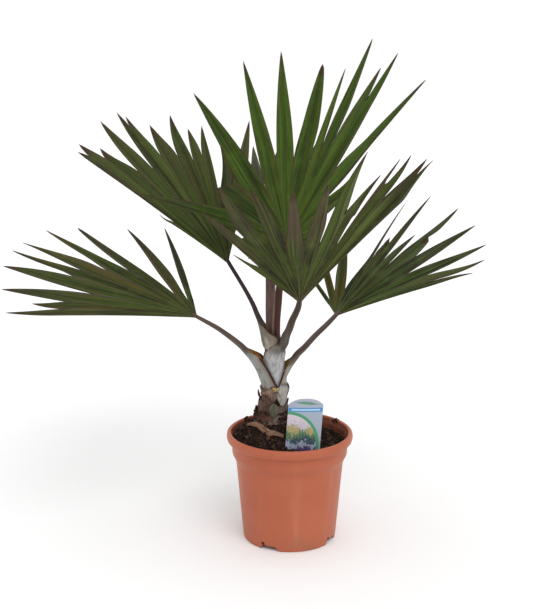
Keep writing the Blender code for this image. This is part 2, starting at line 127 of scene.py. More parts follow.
def relief(tree, shader, height, depth, before=None):
    """Bump of a real depth in metres, added to what came before."""
    wiring = {"Height": height, "Distance": depth, "Strength": 1.0}
    if before is not None:
        wiring["Normal"] = before
    made = add(tree, "ShaderNodeBump", wiring)
    tree.links.new(made.outputs["Normal"], shader.inputs["Normal"])
    return made.outputs["Normal"]


def object_place(tree):
    return add(tree, "ShaderNodeTexCoord").outputs["Object"]


def new_piece(name, mesh_data, *materials, sharp=None):
    """Turns finished mesh data into an object at the origin; sharp is the angle over which edges stay crisp."""
    mesh = bpy.data.meshes.new(name)
    mesh_data.to_mesh(mesh)
    mesh_data.free()
    for material in materials:
        mesh.materials.append(material)
    if sharp is not None:
        mesh.shade_smooth()
        mesh.set_sharp_from_angle(angle=math.radians(sharp))
    piece = bpy.data.objects.new(name, mesh)
    bpy.context.scene.collection.objects.link(piece)
    return piece


def through(points, count):
    """Evenly numbered points along a smooth curve through the given ones."""
    way = [Vector(p) for p in points]
    way = [way[0] * 2 - way[1]] + way + [way[-1] * 2 - way[-2]]
    made = []
    for k in range(count):
        place = k / (count - 1) * (len(way) - 3)
        i = min(int(place), len(way) - 4)
        u = place - i
        a, b, c, d = way[i:i + 4]
        made.append(b * (2 * u**3 - 3 * u**2 + 1) + c * (3 * u**2 - 2 * u**3)
                    + (c - a) * ((u**3 - 2 * u**2 + u) / 2) + (d - b) * ((u**3 - u**2) / 2))
    return made


def smooth_step(value, low=0.0, high=1.0):
    t = min(1.0, max(0.0, (value - low) / (high - low)))
    return t * t * (3 - 2 * t)


def notch_height(turn):
    """How far the foot ring is cut away at this turn round the pot."""
    height = 0.0
    for middle in NOTCH_TURNS:
        off = abs(math.remainder(turn - middle, math.tau))
        height = max(height, 1 - smooth_step(off, NOTCH_HALF_TURN - NOTCH_CORNER, NOTCH_HALF_TURN + NOTCH_CORNER))
    return PLATE_UNDERSIDE * height


POT_OUTSIDE = ((0.0886, RIM_TOP - 0.0010), (0.0905, RIM_TOP - 0.0002), (0.0926, RIM_TOP - 0.0006), (0.0942, RIM_TOP - 0.0024),
               (0.0949, RIM_TOP - 0.0055), (0.0948, RIM_TOP - 0.0090), (0.0938, RIM_TOP - 0.0125),
               (0.0915, RIM_TOP - 0.0148), (0.0888, RIM_TOP - 0.0160), (0.0875, RIM_TOP - 0.0178),
               (0.0872, 0.1440), (0.0869, 0.1395), (0.0868, 0.1350), (0.0862, 0.1326), (0.0843, 0.1288),
               (0.0824, 0.1246), (0.0811, 0.1212), (0.0805, 0.1180), (0.0802, 0.1140), (0.0772, 0.0800),
               (0.0742, 0.0450), (0.0712, 0.0120), (0.0703, 0.0035), (0.0698, 0.0008))
POT_INSIDE = ((0.0655, PLATE_TOP), (0.0680, 0.0095), (0.0690, 0.0130), (0.0752, 0.0800), (0.0783, 0.1180),
              (0.0800, 0.1235), (0.0842, 0.1330), (0.0850, 0.1400), (0.0853, 0.1500), (0.0860, 0.1560),
              (0.0874, 0.1600), (0.0880, RIM_TOP - 0.0035))

pot_data = bmesh.new()
pot_turns = [math.tau * i / POT_SIDES for i in range(POT_SIDES)]


def pot_ring(radius, height, follows_notch=False):
    ring = []
    for turn in pot_turns:
        z = height
        if follows_notch and height < 0.012:
            cut = notch_height(turn)
            z = cut + height * (0.012 - cut) / 0.012
        ring.append(pot_data.verts.new((radius * math.sin(turn), -radius * math.cos(turn), z)))
    return ring


outside = [pot_ring(p.x, p.y, True) for p in through([(r, z, 0) for r, z in POT_OUTSIDE], 84)]
outside.append(pot_ring(FOOT_RADIUS - 0.0010, 0.0, True))
outside.append(pot_ring(FOOT_RADIUS - 0.0030, 0.0, True))
outside.append(pot_ring(FOOT_RADIUS - 0.0036, 0.0008, True))
underside = [pot_ring(FOOT_RADIUS - 0.0042, PLATE_UNDERSIDE), pot_ring(FOOT_RADIUS - 0.0060, PLATE_UNDERSIDE + 0.0002)]
underside += [pot_ring(r, PLATE_UNDERSIDE + 0.0002) for r in (0.058, 0.048, 0.047, 0.046)]
underside += [pot_ring(PAD_RADIUS + 0.0025, PLATE_UNDERSIDE), pot_ring(PAD_RADIUS + 0.0008, 0.0010)]
underside += [pot_ring(PAD_RADIUS, 0.0), pot_ring(0.0120, 0.0)]
inside = [pot_ring(r, PLATE_TOP) for r in (0.0120, 0.0400)]
inside += [pot_ring(p.x, p.y) for p in through([(r, z, 0) for r, z in POT_INSIDE], 40)]


def join_rings(mesh_data, rings, uv=None):
    """Quads between closed rings; uv is a layer that gets the turn and the ring's share of the way."""
    count = len(rings[0])
    for k, (lower, upper) in enumerate(zip(rings, rings[1:])):
        for i in range(count):
            j = (i + 1) % count
            face = mesh_data.faces.new((lower[i], lower[j], upper[j], upper[i]))
            if uv is not None:
                corners = ((i, k), (i + 1, k), (i + 1, k + 1), (i, k + 1))
                for loop, (turn, way) in zip(face.loops, corners):
                    loop[uv].uv = (turn / count, way / (len(rings) - 1))


join_rings(pot_data, outside + underside)
join_rings(pot_data, inside + [outside[0]])
for ring in (underside[-1], inside[0]):
    pot_data.faces.new(ring)
bmesh.ops.recalc_face_normals(pot_data, faces=pot_data.faces)

pot_plastic, tree, shader = new_finish("pot_plastic", 0.42, Specular_IOR_Level=0.25)
place = object_place(tree)
tint = steps(tree, grain(tree, place, 9, 3), (0.30, paint(166, 88, 61)), (0.72, paint(176, 98, 70)))
flow = grain(tree, place, 26, 4, stretch=(1.0, 1.0, 0.07))
tint = blend(tree, window(tree, flow, 0.52, 0.80), tint, paint(184, 112, 86))
low = window(tree, add(tree, "ShaderNodeSeparateXYZ", {0: place}).outputs["Z"], 0.050, 0.000)
dusty = sums(tree, "MULTIPLY", low, window(tree, grain(tree, place, 40, 6), 0.42, 0.75))
tint = blend(tree, sums(tree, "MULTIPLY", dusty, 0.55), tint, paint(142, 96, 74))
across = add(tree, "ShaderNodeVectorMath", {0: place, 1: (1.0, 1.0, 0.0)}, operation="MULTIPLY")
radius = add(tree, "ShaderNodeVectorMath", {0: across.outputs[0]}, operation="LENGTH").outputs["Value"]
height = add(tree, "ShaderNodeSeparateXYZ", {0: place}).outputs["Z"]
# The inner wall between the compost and the lip is darkened to a dark reddish brown: partly soil stain, partly painted
# shade inside the pot.
within = sums(tree, "MULTIPLY", window(tree, radius, 0.0900, 0.0880), window(tree, height, 0.1495, 0.1512))
patchy_stain_and_shade = add(tree, "ShaderNodeMapRange", {"Value": grain(tree, place, 60, 5), "From Min": 0.35, "From Max": 0.65,
                                           "To Min": 0.55, "To Max": 0.95})
inner_stain_and_shade = sums(tree, "MULTIPLY", within, patchy_stain_and_shade.outputs["Result"])
inner_stain_and_shade = sums(tree, "MULTIPLY", inner_stain_and_shade, window(tree, height, RIM_TOP, RIM_TOP - 0.0060))
tint = blend(tree, inner_stain_and_shade, tint, paint(98, 54, 40))
tree.links.new(tint, shader.inputs["Base Color"])
sheen = add(tree, "ShaderNodeMapRange", {"Value": grain(tree, place, 60, 5), "To Min": 0.36, "To Max": 0.52})
tree.links.new(sheen.outputs["Result"], shader.inputs["Roughness"])
first = relief(tree, shader, grain(tree, place, 900, 2), 0.00006)
relief(tree, shader, flow, 0.00012, first)

pot = new_piece("pot_shell", pot_data, pot_plastic, sharp=42)

# Drain holes: one upright slot hole in the base plate at each notch, and one through the wall beside it.
drill_data = bmesh.new()
for turn in NOTCH_TURNS:
    upright = Matrix.Translation((0.0590 * math.sin(turn), -0.0590 * math.cos(turn), 0.004))
    bmesh.ops.create_cone(drill_data, cap_ends=True, segments=20, radius1=0.0048, radius2=0.0048, depth=0.020,
                          matrix=upright)
    side_turn = turn - NOTCH_HALF_TURN * 0.75
    level = Matrix.Translation((0.069 * math.sin(side_turn), -0.069 * math.cos(side_turn), 0.0088))
    level = level @ Matrix.Rotation(side_turn, 4, "Z") @ Matrix.Rotation(math.pi / 2, 4, "X")
    bmesh.ops.create_cone(drill_data, cap_ends=True, segments=16, radius1=0.0030, radius2=0.0030, depth=0.012,
                          matrix=level)
drill = new_piece("drain_drill", drill_data)
cut = pot.modifiers.new("drain_holes", "BOOLEAN")
cut.object = drill
cut.solver = "EXACT"
cut.operation = "DIFFERENCE"
drained = bpy.data.meshes.new_from_object(pot.evaluated_get(bpy.context.evaluated_depsgraph_get()))
pot.modifiers.clear()
pot.data = drained
drained.shade_smooth()
drained.set_sharp_from_angle(angle=math.radians(42))
bpy.data.objects.remove(drill, do_unlink=True)
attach(pot, "root")
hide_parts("pot")


# The compost: coarse moist peat, level along the wall and heaped round the stem. Its surface is loose
# crumbs and bits of root and bark fibre, which lie where they fell.
STEM_X, STEM_Y = -0.0275, 0.0
SOIL_LEVEL = 0.1500
SOIL_HEAP = 0.0480
SOIL_HEAP_SPREAD = 0.045
SOIL_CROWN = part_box("soil")[1][2]
SOIL_EDGE = 0.0848


def soil_height(x, y):
    distance = math.hypot(x - STEM_X, y - STEM_Y)
    return min(SOIL_CROWN, SOIL_LEVEL + SOIL_HEAP * math.exp(-((distance / SOIL_HEAP_SPREAD) ** 2)))


def rough_height(x, y):
    """The compost's own lumps, on top of its heap."""
    coarse = noise.noise(Vector((x, y, 0.0)) * 55)
    fine = noise.noise(Vector((x, y, 3.0)) * 150)
    return soil_height(x, y) + 0.0022 * coarse + 0.0012 * fine - 0.0010


soil_data = bmesh.new()
rings = [[soil_data.verts.new((0.066 * math.cos(math.tau * i / 120), 0.066 * math.sin(math.tau * i / 120), 0.0088))
          for i in range(120)]]
rings.append([soil_data.verts.new((v.co.x * 1.17, v.co.y * 1.17, 0.115)) for v in rings[0]])
for k in range(34):
    radius = SOIL_EDGE * (1 - k / 34) ** 0.9
    ring = []
    for i in range(120):
        x, y = radius * math.cos(math.tau * i / 120), radius * math.sin(math.tau * i / 120)
        ring.append(soil_data.verts.new((x, y, rough_height(x, y))))
    rings.append(ring)
join_rings(soil_data, rings)
soil_data.faces.new(list(reversed(rings[0])))
soil_data.faces.new(rings[-1])
bmesh.ops.recalc_face_normals(soil_data, faces=soil_data.faces)

compost, tree, shader = new_finish("compost", 0.92, Specular_IOR_Level=0.15)
place = object_place(tree)
tint = steps(tree, grain(tree, place, 240, 6), (0.30, paint(20, 14, 11)), (0.52, paint(44, 31, 24)),
             (0.74, paint(82, 60, 46)))
tree.links.new(tint, shader.inputs["Base Color"])
relief(tree, shader, grain(tree, place, 420, 6), 0.0010)
soil = new_piece("compost_bed", soil_data, compost, sharp=180)
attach(soil, "root")
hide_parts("soil")


def crumb_material(name, dark, middle, light):
    """Compost crumbs, each with its own tone, read from the attribute that scattering stores."""
    material, tree, shader = new_finish(name, 0.9, Specular_IOR_Level=0.15)
    tone = add(tree, "ShaderNodeAttribute", attribute_name="tone").outputs["Fac"]
    tint = steps(tree, tone, (0.0, dark), (0.62, middle), (1.0, light))
    place = object_place(tree)
    tint = blend(tree, grain(tree, place, 900, 3), tint, dark, "MULTIPLY")
    tree.links.new(tint, shader.inputs["Base Color"])
    relief(tree, shader, grain(tree, place, 1100, 4), 0.0003)
    return material


def new_scatter(name, inputs):
    """An empty Geometry Nodes tree with geometry in and out and the named inputs, by name and kind."""
    tree = bpy.data.node_groups.new(name, "GeometryNodeTree")
    tree.interface.new_socket("Geometry", in_out="INPUT", socket_type="NodeSocketGeometry")
    for label, kind in inputs:
        tree.interface.new_socket(label, in_out="INPUT", socket_type=kind)
    tree.interface.new_socket("Geometry", in_out="OUTPUT", socket_type="NodeSocketGeometry")
    return tree, tree.nodes.new("NodeGroupInput"), tree.nodes.new("NodeGroupOutput")


def run_scatter(name, tree, carrier, values):
    """Sets the tree's inputs by identifier, evaluates it on a copy of the carrier and keeps a plain mesh."""
    holder = bpy.data.objects.new(name, carrier.copy())
    bpy.context.scene.collection.objects.link(holder)
    modifier = holder.modifiers.new("scatter", "NODES")
    modifier.node_group = tree
    for item in tree.interface.items_tree:
        if item.in_out == "INPUT" and item.name in values:
            modifier[item.identifier] = values[item.name]
    holder.update_tag()
    made = bpy.data.meshes.new_from_object(holder.evaluated_get(bpy.context.evaluated_depsgraph_get()))
    holder.modifiers.clear()
    holder.data = made
    return holder


def lump_scatter():
    """Irregular lumps, scattered over a surface and half sunk into it."""
    tree, given, result = new_scatter("lumps", (("Per square metre", "NodeSocketFloat"),
                                                ("Smallest", "NodeSocketFloat"), ("Largest", "NodeSocketFloat"),
                                                ("Lift", "NodeSocketFloat"), ("Seed", "NodeSocketInt"),
                                                ("Finish", "NodeSocketMaterial")))
    seed = given.outputs["Seed"]
    spots = add(tree, "GeometryNodeDistributePointsOnFaces", {"Mesh": given.outputs["Geometry"], "Seed": seed,
                                                              "Density": given.outputs["Per square metre"]})
    up = add(tree, "ShaderNodeVectorMath", {0: spots.outputs["Normal"], 3: given.outputs["Lift"]}, operation="SCALE")
    lifted = add(tree, "GeometryNodeSetPosition", {"Geometry": spots.outputs["Points"], "Offset": up.outputs[0]})
    lump = add(tree, "GeometryNodeMeshIcoSphere", {"Radius": 1.0, "Subdivisions": 1})
    turn = add(tree, "FunctionNodeRandomValue", {0: (0, 0, 0), 1: (6.3, 6.3, 6.3), "Seed": seed},
               data_type="FLOAT_VECTOR")
    smallest, largest = given.outputs["Smallest"], given.outputs["Largest"]
    even = add(tree, "FunctionNodeRandomValue", {2: 0.0, 3: 1.0, "Seed": seed}, data_type="FLOAT")
    uneven = add(tree, "ShaderNodeMath", {0: even.outputs[1], 1: 3.0}, operation="POWER")
    size = add(tree, "ShaderNodeMapRange", {"Value": uneven.outputs[0], "To Min": smallest, "To Max": largest})
    squash = add(tree, "FunctionNodeRandomValue", {0: (0.55, 0.5, 0.35), 1: (1.5, 1.0, 0.9), "Seed": seed},
                 data_type="FLOAT_VECTOR")
    scale = add(tree, "ShaderNodeVectorMath", {0: squash.outputs[0], 3: size.outputs["Result"]}, operation="SCALE")
    placed = add(tree, "GeometryNodeInstanceOnPoints", {"Points": lifted.outputs[0], "Instance": lump.outputs["Mesh"],
                                                        "Rotation": turn.outputs[0], "Scale": scale.outputs[0]})
    tone = add(tree, "FunctionNodeRandomValue", {2: 0.0, 3: 1.0, "Seed": 7}, data_type="FLOAT")
    toned = add(tree, "GeometryNodeStoreNamedAttribute", {"Geometry": placed.outputs[0], "Name": "tone",
                                                          "Value": tone.outputs[1]}, domain="INSTANCE")
    real = add(tree, "GeometryNodeRealizeInstances", {0: toned.outputs[0]})
    spot = add(tree, "GeometryNodeInputPosition")
    bumps = add(tree, "ShaderNodeTexNoise", {"Vector": spot.outputs[0], "Scale": 700.0, "Detail": 1.0})
    centred = add(tree, "ShaderNodeVectorMath", {0: bumps.outputs["Color"], 1: (0.5, 0.5, 0.5)}, operation="SUBTRACT")
    uneven = add(tree, "ShaderNodeVectorMath", {0: centred.outputs[0], 3: 0.0016}, operation="SCALE")
    knocked = add(tree, "GeometryNodeSetPosition", {"Geometry": real.outputs[0], "Offset": uneven.outputs[0]})
    finished = add(tree, "GeometryNodeSetMaterial", {"Geometry": knocked.outputs[0],
                                                     "Material": given.outputs["Finish"]})
    tree.links.new(finished.outputs[0], result.inputs[0])
    return tree


top_data = bmesh.new()
top_data.from_mesh(soil.data)
hidden = [f for f in top_data.faces if f.normal.z < 0.3 or f.calc_center_median().z < 0.12
          or math.hypot(f.calc_center_median().x - STEM_X, f.calc_center_median().y) < 0.0255
          or f.calc_center_median().xy.length > 0.0835]
bmesh.ops.delete(top_data, geom=hidden, context="FACES")
soil_top = bpy.data.meshes.new("compost_top")
top_data.to_mesh(soil_top)
top_data.free()

crumb_finish = crumb_material("compost_crumbs", paint(20, 14, 11), paint(58, 42, 33), paint(116, 88, 70))
lumps = lump_scatter()
crumbs = run_scatter("compost_crumbs", lumps, soil_top,
                     {"Per square metre": 260000.0, "Smallest": 0.0005, "Largest": 0.0030, "Lift": 0.0003,
                      "Seed": 4, "Finish": crumb_finish})
clods = run_scatter("compost_clods", lumps, soil_top,
                    {"Per square metre": 12000.0, "Smallest": 0.0024, "Largest": 0.0048, "Lift": 0.0010,
                     "Seed": 11, "Finish": crumb_finish})
# A few crumbs were left on the inner edge of the lip, at two places towards the back.
lip_data = bmesh.new()
lip_data.from_mesh(pot.data)
spills = ((Vector((0.0715, 0.0525)), 0.0062), (Vector((-0.0630, 0.0600)), 0.0085))
clean = []
for face in lip_data.faces:
    middle = face.calc_center_median()
    away = min((middle.xy - spill).length / reach for spill, reach in spills)
    if away > 1.0 or middle.xy.length > 0.0905 or middle.z < RIM_TOP - 0.0060:
        clean.append(face)
bmesh.ops.delete(lip_data, geom=clean, context="FACES")
lip_area = bpy.data.meshes.new("lip_area")
lip_data.to_mesh(lip_area)
lip_data.free()
rim_crumbs = run_scatter("rim_crumbs", lumps, lip_area,
                         {"Per square metre": 300000.0, "Smallest": 0.0006, "Largest": 0.0030, "Lift": 0.0003,
                          "Seed": 23, "Finish": crumb_finish})
for piece in (crumbs, clods, rim_crumbs):
    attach(piece, "root")


def strand_scatter():
    """Bent strands, scattered over a surface, lying nearly flat on it or standing along an axis."""
    tree, given, result = new_scatter("strands", (("Per square metre", "NodeSocketFloat"),
                                                  ("Shortest", "NodeSocketFloat"), ("Longest", "NodeSocketFloat"),
                                                  ("Thickness", "NodeSocketFloat"), ("Lean low", "NodeSocketVector"),
                                                  ("Lean high", "NodeSocketVector"), ("Lift", "NodeSocketFloat"),
                                                  ("Seed", "NodeSocketInt"), ("Finish", "NodeSocketMaterial")))
    seed = given.outputs["Seed"]
    spots = add(tree, "GeometryNodeDistributePointsOnFaces", {"Mesh": given.outputs["Geometry"], "Seed": seed,
                                                              "Density": given.outputs["Per square metre"]})
    up = add(tree, "ShaderNodeVectorMath", {0: spots.outputs["Normal"], 3: given.outputs["Lift"]}, operation="SCALE")
    lifted = add(tree, "GeometryNodeSetPosition", {"Geometry": spots.outputs["Points"], "Offset": up.outputs[0]})
    bow = add(tree, "GeometryNodeCurveQuadraticBezier", {"Resolution": 5, "Start": (0, 0, 0), "Middle": (0.10, 0.05, 0.5),
                                                         "End": (0.0, -0.06, 1.0)})
    length = add(tree, "FunctionNodeRandomValue", {2: given.outputs["Shortest"], 3: given.outputs["Longest"],
                                                   "Seed": seed}, data_type="FLOAT")
    lean = add(tree, "FunctionNodeRandomValue", {0: given.outputs["Lean low"], 1: given.outputs["Lean high"],
                                                 "Seed": seed}, data_type="FLOAT_VECTOR")
    placed = add(tree, "GeometryNodeInstanceOnPoints", {"Points": lifted.outputs[0], "Instance": bow.outputs[0],
                                                        "Rotation": lean.outputs[0], "Scale": length.outputs[1]})
    tone = add(tree, "FunctionNodeRandomValue", {2: 0.0, 3: 1.0, "Seed": 5}, data_type="FLOAT")
    toned = add(tree, "GeometryNodeStoreNamedAttribute", {"Geometry": placed.outputs[0], "Name": "tone",
                                                          "Value": tone.outputs[1]}, domain="INSTANCE")
    real = add(tree, "GeometryNodeRealizeInstances", {0: toned.outputs[0]})
    section = add(tree, "GeometryNodeCurvePrimitiveCircle", {"Resolution": 4, "Radius": given.outputs["Thickness"]})
    share = add(tree, "GeometryNodeSplineParameter")
    thin = add(tree, "ShaderNodeMapRange", {"Value": share.outputs["Factor"], "To Min": 1.0, "To Max": 0.35})
    skin = add(tree, "GeometryNodeCurveToMesh", {"Curve": real.outputs[0], "Profile Curve": section.outputs[0],
                                                 "Scale": thin.outputs["Result"], "Fill Caps": True})
    finished = add(tree, "GeometryNodeSetMaterial", {"Geometry": skin.outputs[0], "Material": given.outputs["Finish"]})
    tree.links.new(finished.outputs[0], result.inputs[0])
    return tree


strands = strand_scatter()
fibre_finish = crumb_material("peat_fibre", paint(54, 32, 22), paint(100, 66, 46), paint(150, 112, 82))
peat_fibre = run_scatter("peat_fibre", strands, soil_top,
                         {"Per square metre": 8000.0, "Shortest": 0.004, "Longest": 0.015, "Thickness": 0.00028,
                          "Lean low": (1.25, 0.0, 0.0), "Lean high": (1.75, 0.25, 6.3), "Lift": 0.0012, "Seed": 3,
                          "Finish": fibre_finish})
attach(peat_fibre, "root")


# The trunk: a short upright stem that flares into the compost. It is wrapped in the dead bases of
# earlier leaves, torn short and overlapping like scales, over a coat of coarse brown fibre.
STEM_LINE = ((-0.0275, 0.0, 0.1840), (-0.0262, 0.0, 0.2000), (-0.0238, 0.0, 0.2180), (-0.0230, 0.0, 0.2335),
             (-0.0235, 0.0, 0.2600))
STEM_RADII = ((0.184, 0.0275), (0.192, 0.0250), (0.199, 0.0218), (0.208, 0.0196), (0.220, 0.0184), (0.233, 0.0178),
              (0.244, 0.0135), (0.262, 0.0120))


def from_table(table, at):
    """Reads a table of (place, value, ...) rows with smooth steps between them."""
    if at <= table[0][0]:
        return table[0][1]
    for (low, first), (high, second) in zip(table, table[1:]):
        if at <= high:
            return first + (second - first) * (at - low) / (high - low)
    return table[-1][1]


def stem_centre(z):
    xs = [(p[2], p[0]) for p in STEM_LINE]
    return Vector((from_table(xs, z), 0.0, z))


def stem_surface(turn, z, lift=0.0):
    radius = from_table(STEM_RADII, z) + lift
    return stem_centre(z) + Vector((radius * math.cos(turn), radius * math.sin(turn), 0.0))


stem_data = bmesh.new()
rings = []
for k in range(64):
    z = 0.1842 + (0.262 - 0.1842) * k / 63
    ring = []
    for i in range(144):
        turn = math.tau * i / 144
        across = Vector((math.cos(turn) * 5.5, math.sin(turn) * 5.5, z * 30))
        fibre = noise.noise(across * 2.4)
        lump = noise.noise(Vector((math.cos(turn) * 1.6, math.sin(turn) * 1.6, z * 60)))
        ring.append(stem_data.verts.new(stem_surface(turn, z, 0.0005 * fibre + 0.0009 * lump)))
    rings.append(ring)
join_rings(stem_data, rings)
stem_data.faces.new(list(reversed(rings[0])))
stem_data.faces.new(rings[-1])
bmesh.ops.recalc_face_normals(stem_data, faces=stem_data.faces)

stem_fibre, tree, shader = new_finish("stem_fibre", 0.8, Specular_IOR_Level=0.20)
place = object_place(tree)
streak = grain(tree, place, 210, 4, stretch=(1, 1, 0.12))
tint = steps(tree, streak, (0.30, paint(38, 27, 23)), (0.50, paint(88, 72, 64)), (0.68, paint(132, 118, 108)))
rusty = window(tree, grain(tree, place, 45, 4), 0.46, 0.66)
tint = blend(tree, sums(tree, "MULTIPLY", rusty, 0.7), tint, paint(84, 48, 34))
tree.links.new(tint, shader.inputs["Base Color"])
relief(tree, shader, streak, 0.0008)
stem = new_piece("stem_core", stem_data, stem_fibre, sharp=180)
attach(stem, "root")
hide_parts("trunk")


# The dead leaf bases: each is the foot of a lost leaf, a curved fibrous plate that clasps the stem and
# ends in a torn edge. One at the front has dried to a smooth oval stub.
SCALE_THICKNESS = 0.0011
# Turn round the stem, half turn, foot, top, lift of the top, slant of the torn edge, how far its sides
# fall away from the middle, and tone.
SCALES = (
    (188, 62, 0.2210, 0.2370, 0.0046, 0.0015, 0.34, 0.66), (238, 34, 0.2110, 0.2370, 0.0058, 0.0066, 0.12, 0.60),
    (276, 24, 0.2140, 0.2345, 0.0030, -0.0015, 0.45, 0.34), (313, 33, 0.2020, 0.2445, 0.0057, -0.0015, 0.24, 0.98),
    (20, 46, 0.2120, 0.2400, 0.0050, 0.0030, 0.34, 0.60), (75, 44, 0.2130, 0.2380, 0.0048, -0.0040, 0.34, 0.66),
    (128, 44, 0.2140, 0.2410, 0.0050, 0.0030, 0.34, 0.38),
    (237, 26, 0.2060, 0.2275, 0.0056, -0.0030, 0.34, 0.16), (279, 19, 0.2070, 0.2245, 0.0042, 0.0000, 0.75, 0.00),
    (203, 5, 0.2040, 0.2340, 0.0082, 0.0000, 0.34, 0.02),
    (205, 34, 0.1930, 0.2180, 0.0030, 0.0060, 0.34, 0.16), (244, 30, 0.1900, 0.2130, 0.0018, 0.0050, 0.34, 0.10),
    (306, 27, 0.1900, 0.2110, 0.0018, -0.0050, 0.34, 0.24), (350, 36, 0.1930, 0.2170, 0.0028, 0.0020, 0.34, 0.20),
    (48, 36, 0.1950, 0.2170, 0.0030, -0.0030, 0.34, 0.36), (98, 34, 0.1950, 0.2200, 0.0030, 0.0040, 0.34, 0.14),
    (150, 34, 0.1940, 0.2180, 0.0034, -0.0030, 0.34, 0.24),
    (228, 30, 0.1870, 0.2010, 0.0042, 0.0040, 0.34, 0.06), (188, 28, 0.1870, 0.2040, 0.0052, -0.0040, 0.34, 0.12),
    (325, 32, 0.1870, 0.2010, 0.0040, 0.0040, 0.34, 0.08), (18, 30, 0.1870, 0.2030, 0.0048, 0.0030, 0.34, 0.14),
    (72, 30, 0.1870, 0.2050, 0.0044, -0.0020, 0.34, 0.10), (124, 32, 0.1870, 0.2040, 0.0050, 0.0020, 0.34, 0.12),
)


def add_shell(data, outer, inner, tone_layer, tone, uv):
    """Closes two equal grids of points into one shell; uv gets the share across and up."""
    rows, columns = len(outer), len(outer[0])
    front = [[data.verts.new(p) for p in row] for row in outer]
    back = [[data.verts.new(p) for p in row] for row in inner]

    def face(corners, places):
        made = data.faces.new(corners)
        made[tone_layer] = tone
        for loop, (i, k) in zip(made.loops, places):
            loop[uv].uv = (i / (columns - 1), k / (rows - 1))

    for k in range(rows - 1):
        for i in range(columns - 1):
            places = [(i, k), (i + 1, k), (i + 1, k + 1), (i, k + 1)]
            face([front[b][a] for a, b in places], places)
            places.reverse()
            face([back[b][a] for a, b in places], places)
    border = [(i, 0) for i in range(columns)] + [(columns - 1, k) for k in range(1, rows)]
    border += [(i, rows - 1) for i in range(columns - 2, -1, -1)] + [(0, k) for k in range(rows - 2, 0, -1)]
    for (i, k), (j, m) in zip(border, border[1:] + border[:1]):
        face([front[k][i], back[k][i], back[m][j], front[m][j]], [(i, k), (i, k), (j, m), (j, m)])


scale_data = bmesh.new()
scale_uv = scale_data.loops.layers.uv.new("plate")
scale_tone = scale_data.faces.layers.float.new("tone")
rng = random.Random(8)
for turn, half_turn, foot, top, lift, slant, fall, tone in SCALES:
    jags = [rng.uniform(-0.0013, 0.0009) for _ in range(23)]
    outer, inner = [], []
    for k in range(12):
        up = k / 11
        for rows, depth in ((outer, 0.0), (inner, SCALE_THICKNESS)):
            row = []
            for i in range(23):
                across = -1 + i / 11
                high = top + slant * across - (top - foot) * fall * abs(across) ** (0.8 / fall) + jags[i]
                z = foot + (high - foot) * up
                away = 0.0009 + lift * up**1.8 - 0.0020 * abs(across) ** 4 - depth * (1 - 0.5 * up)
                ripple = 0.0004 * noise.noise(Vector((i * 0.5, z * 160, turn)))
                row.append(stem_surface(math.radians(turn + half_turn * across), z, away + ripple))
            rows.append(row)
    add_shell(scale_data, outer, inner, scale_tone, tone, scale_uv)
bmesh.ops.recalc_face_normals(scale_data, faces=scale_data.faces)

dead_base, tree, shader = new_finish("dead_leaf_base", 0.75, Specular_IOR_Level=0.20)
place = object_place(tree)
tone = add(tree, "ShaderNodeAttribute", attribute_name="tone").outputs["Fac"]
plate = add(tree, "ShaderNodeSeparateXYZ", {0: add(tree, "ShaderNodeUVMap", uv_map="plate").outputs["UV"]})
streak = grain(tree, place, 260, 4, stretch=(1, 1, 0.10))
tint = steps(tree, tone, (0.0, paint(44, 28, 22)), (0.06, paint(72, 46, 36)), (0.30, paint(118, 105, 98)), (0.40, paint(122, 106, 97)),
             (0.50, paint(148, 120, 74)), (0.60, paint(142, 118, 102)), (0.98, paint(172, 171, 167)))
tint = blend(tree, window(tree, streak, 0.44, 0.66), tint, paint(150, 138, 128), "SOFT_LIGHT")
tint = blend(tree, sums(tree, "MULTIPLY", window(tree, streak, 0.48, 0.34), 0.7), tint, paint(52, 34, 26))
patchy = grain(tree, place, 190, 5)
tint = blend(tree, sums(tree, "MULTIPLY", window(tree, patchy, 0.50, 0.64), 0.40), tint, paint(108, 72, 56))
torn = window(tree, sums(tree, "ADD", plate.outputs["Y"], sums(tree, "MULTIPLY", streak, 0.2)), 0.92, 1.12)
tint = blend(tree, sums(tree, "MULTIPLY", torn, 0.65), tint, paint(62, 38, 29))
tree.links.new(tint, shader.inputs["Base Color"])
relief(tree, shader, streak, 0.0006)
scales = new_piece("dead_leaf_bases", scale_data, dead_base, sharp=50)
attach(scales, "root")

# A flake of the newest torn base, still yellow, just under the point where the sheaths part.
flake_data = bmesh.new()
flake_uv = flake_data.loops.layers.uv.new("plate")
flake_tone = flake_data.faces.layers.float.new("tone")
outer, inner = [], []
for k in range(7):
    up = k / 6
    for rows, depth in ((outer, 0.0), (inner, 0.0009)):
        rows.append([stem_surface(math.radians(275 + (2 + 13 * up**0.8) * (-1 + i / 5)), 0.2335 + 0.0068 * up - 0.0008 * up * (1 - abs(-1 + i / 5)),
                                  0.0036 + 0.0028 * up - depth) for i in range(11)])
add_shell(flake_data, outer, inner, flake_tone, 0.0, flake_uv)
bmesh.ops.recalc_face_normals(flake_data, faces=flake_data.faces)
flake_skin, tree, shader = new_finish("torn_flake", 0.6, Specular_IOR_Level=0.20)
tint = steps(tree, grain(tree, object_place(tree), 420, 4), (0.34, paint(104, 76, 44)), (0.62, paint(196, 170, 104)))
tree.links.new(tint, shader.inputs["Base Color"])
relief(tree, shader, grain(tree, object_place(tree), 700, 3), 0.0003)
flake = new_piece("torn_flake", flake_data, flake_skin, sharp=50)
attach(flake, "root")

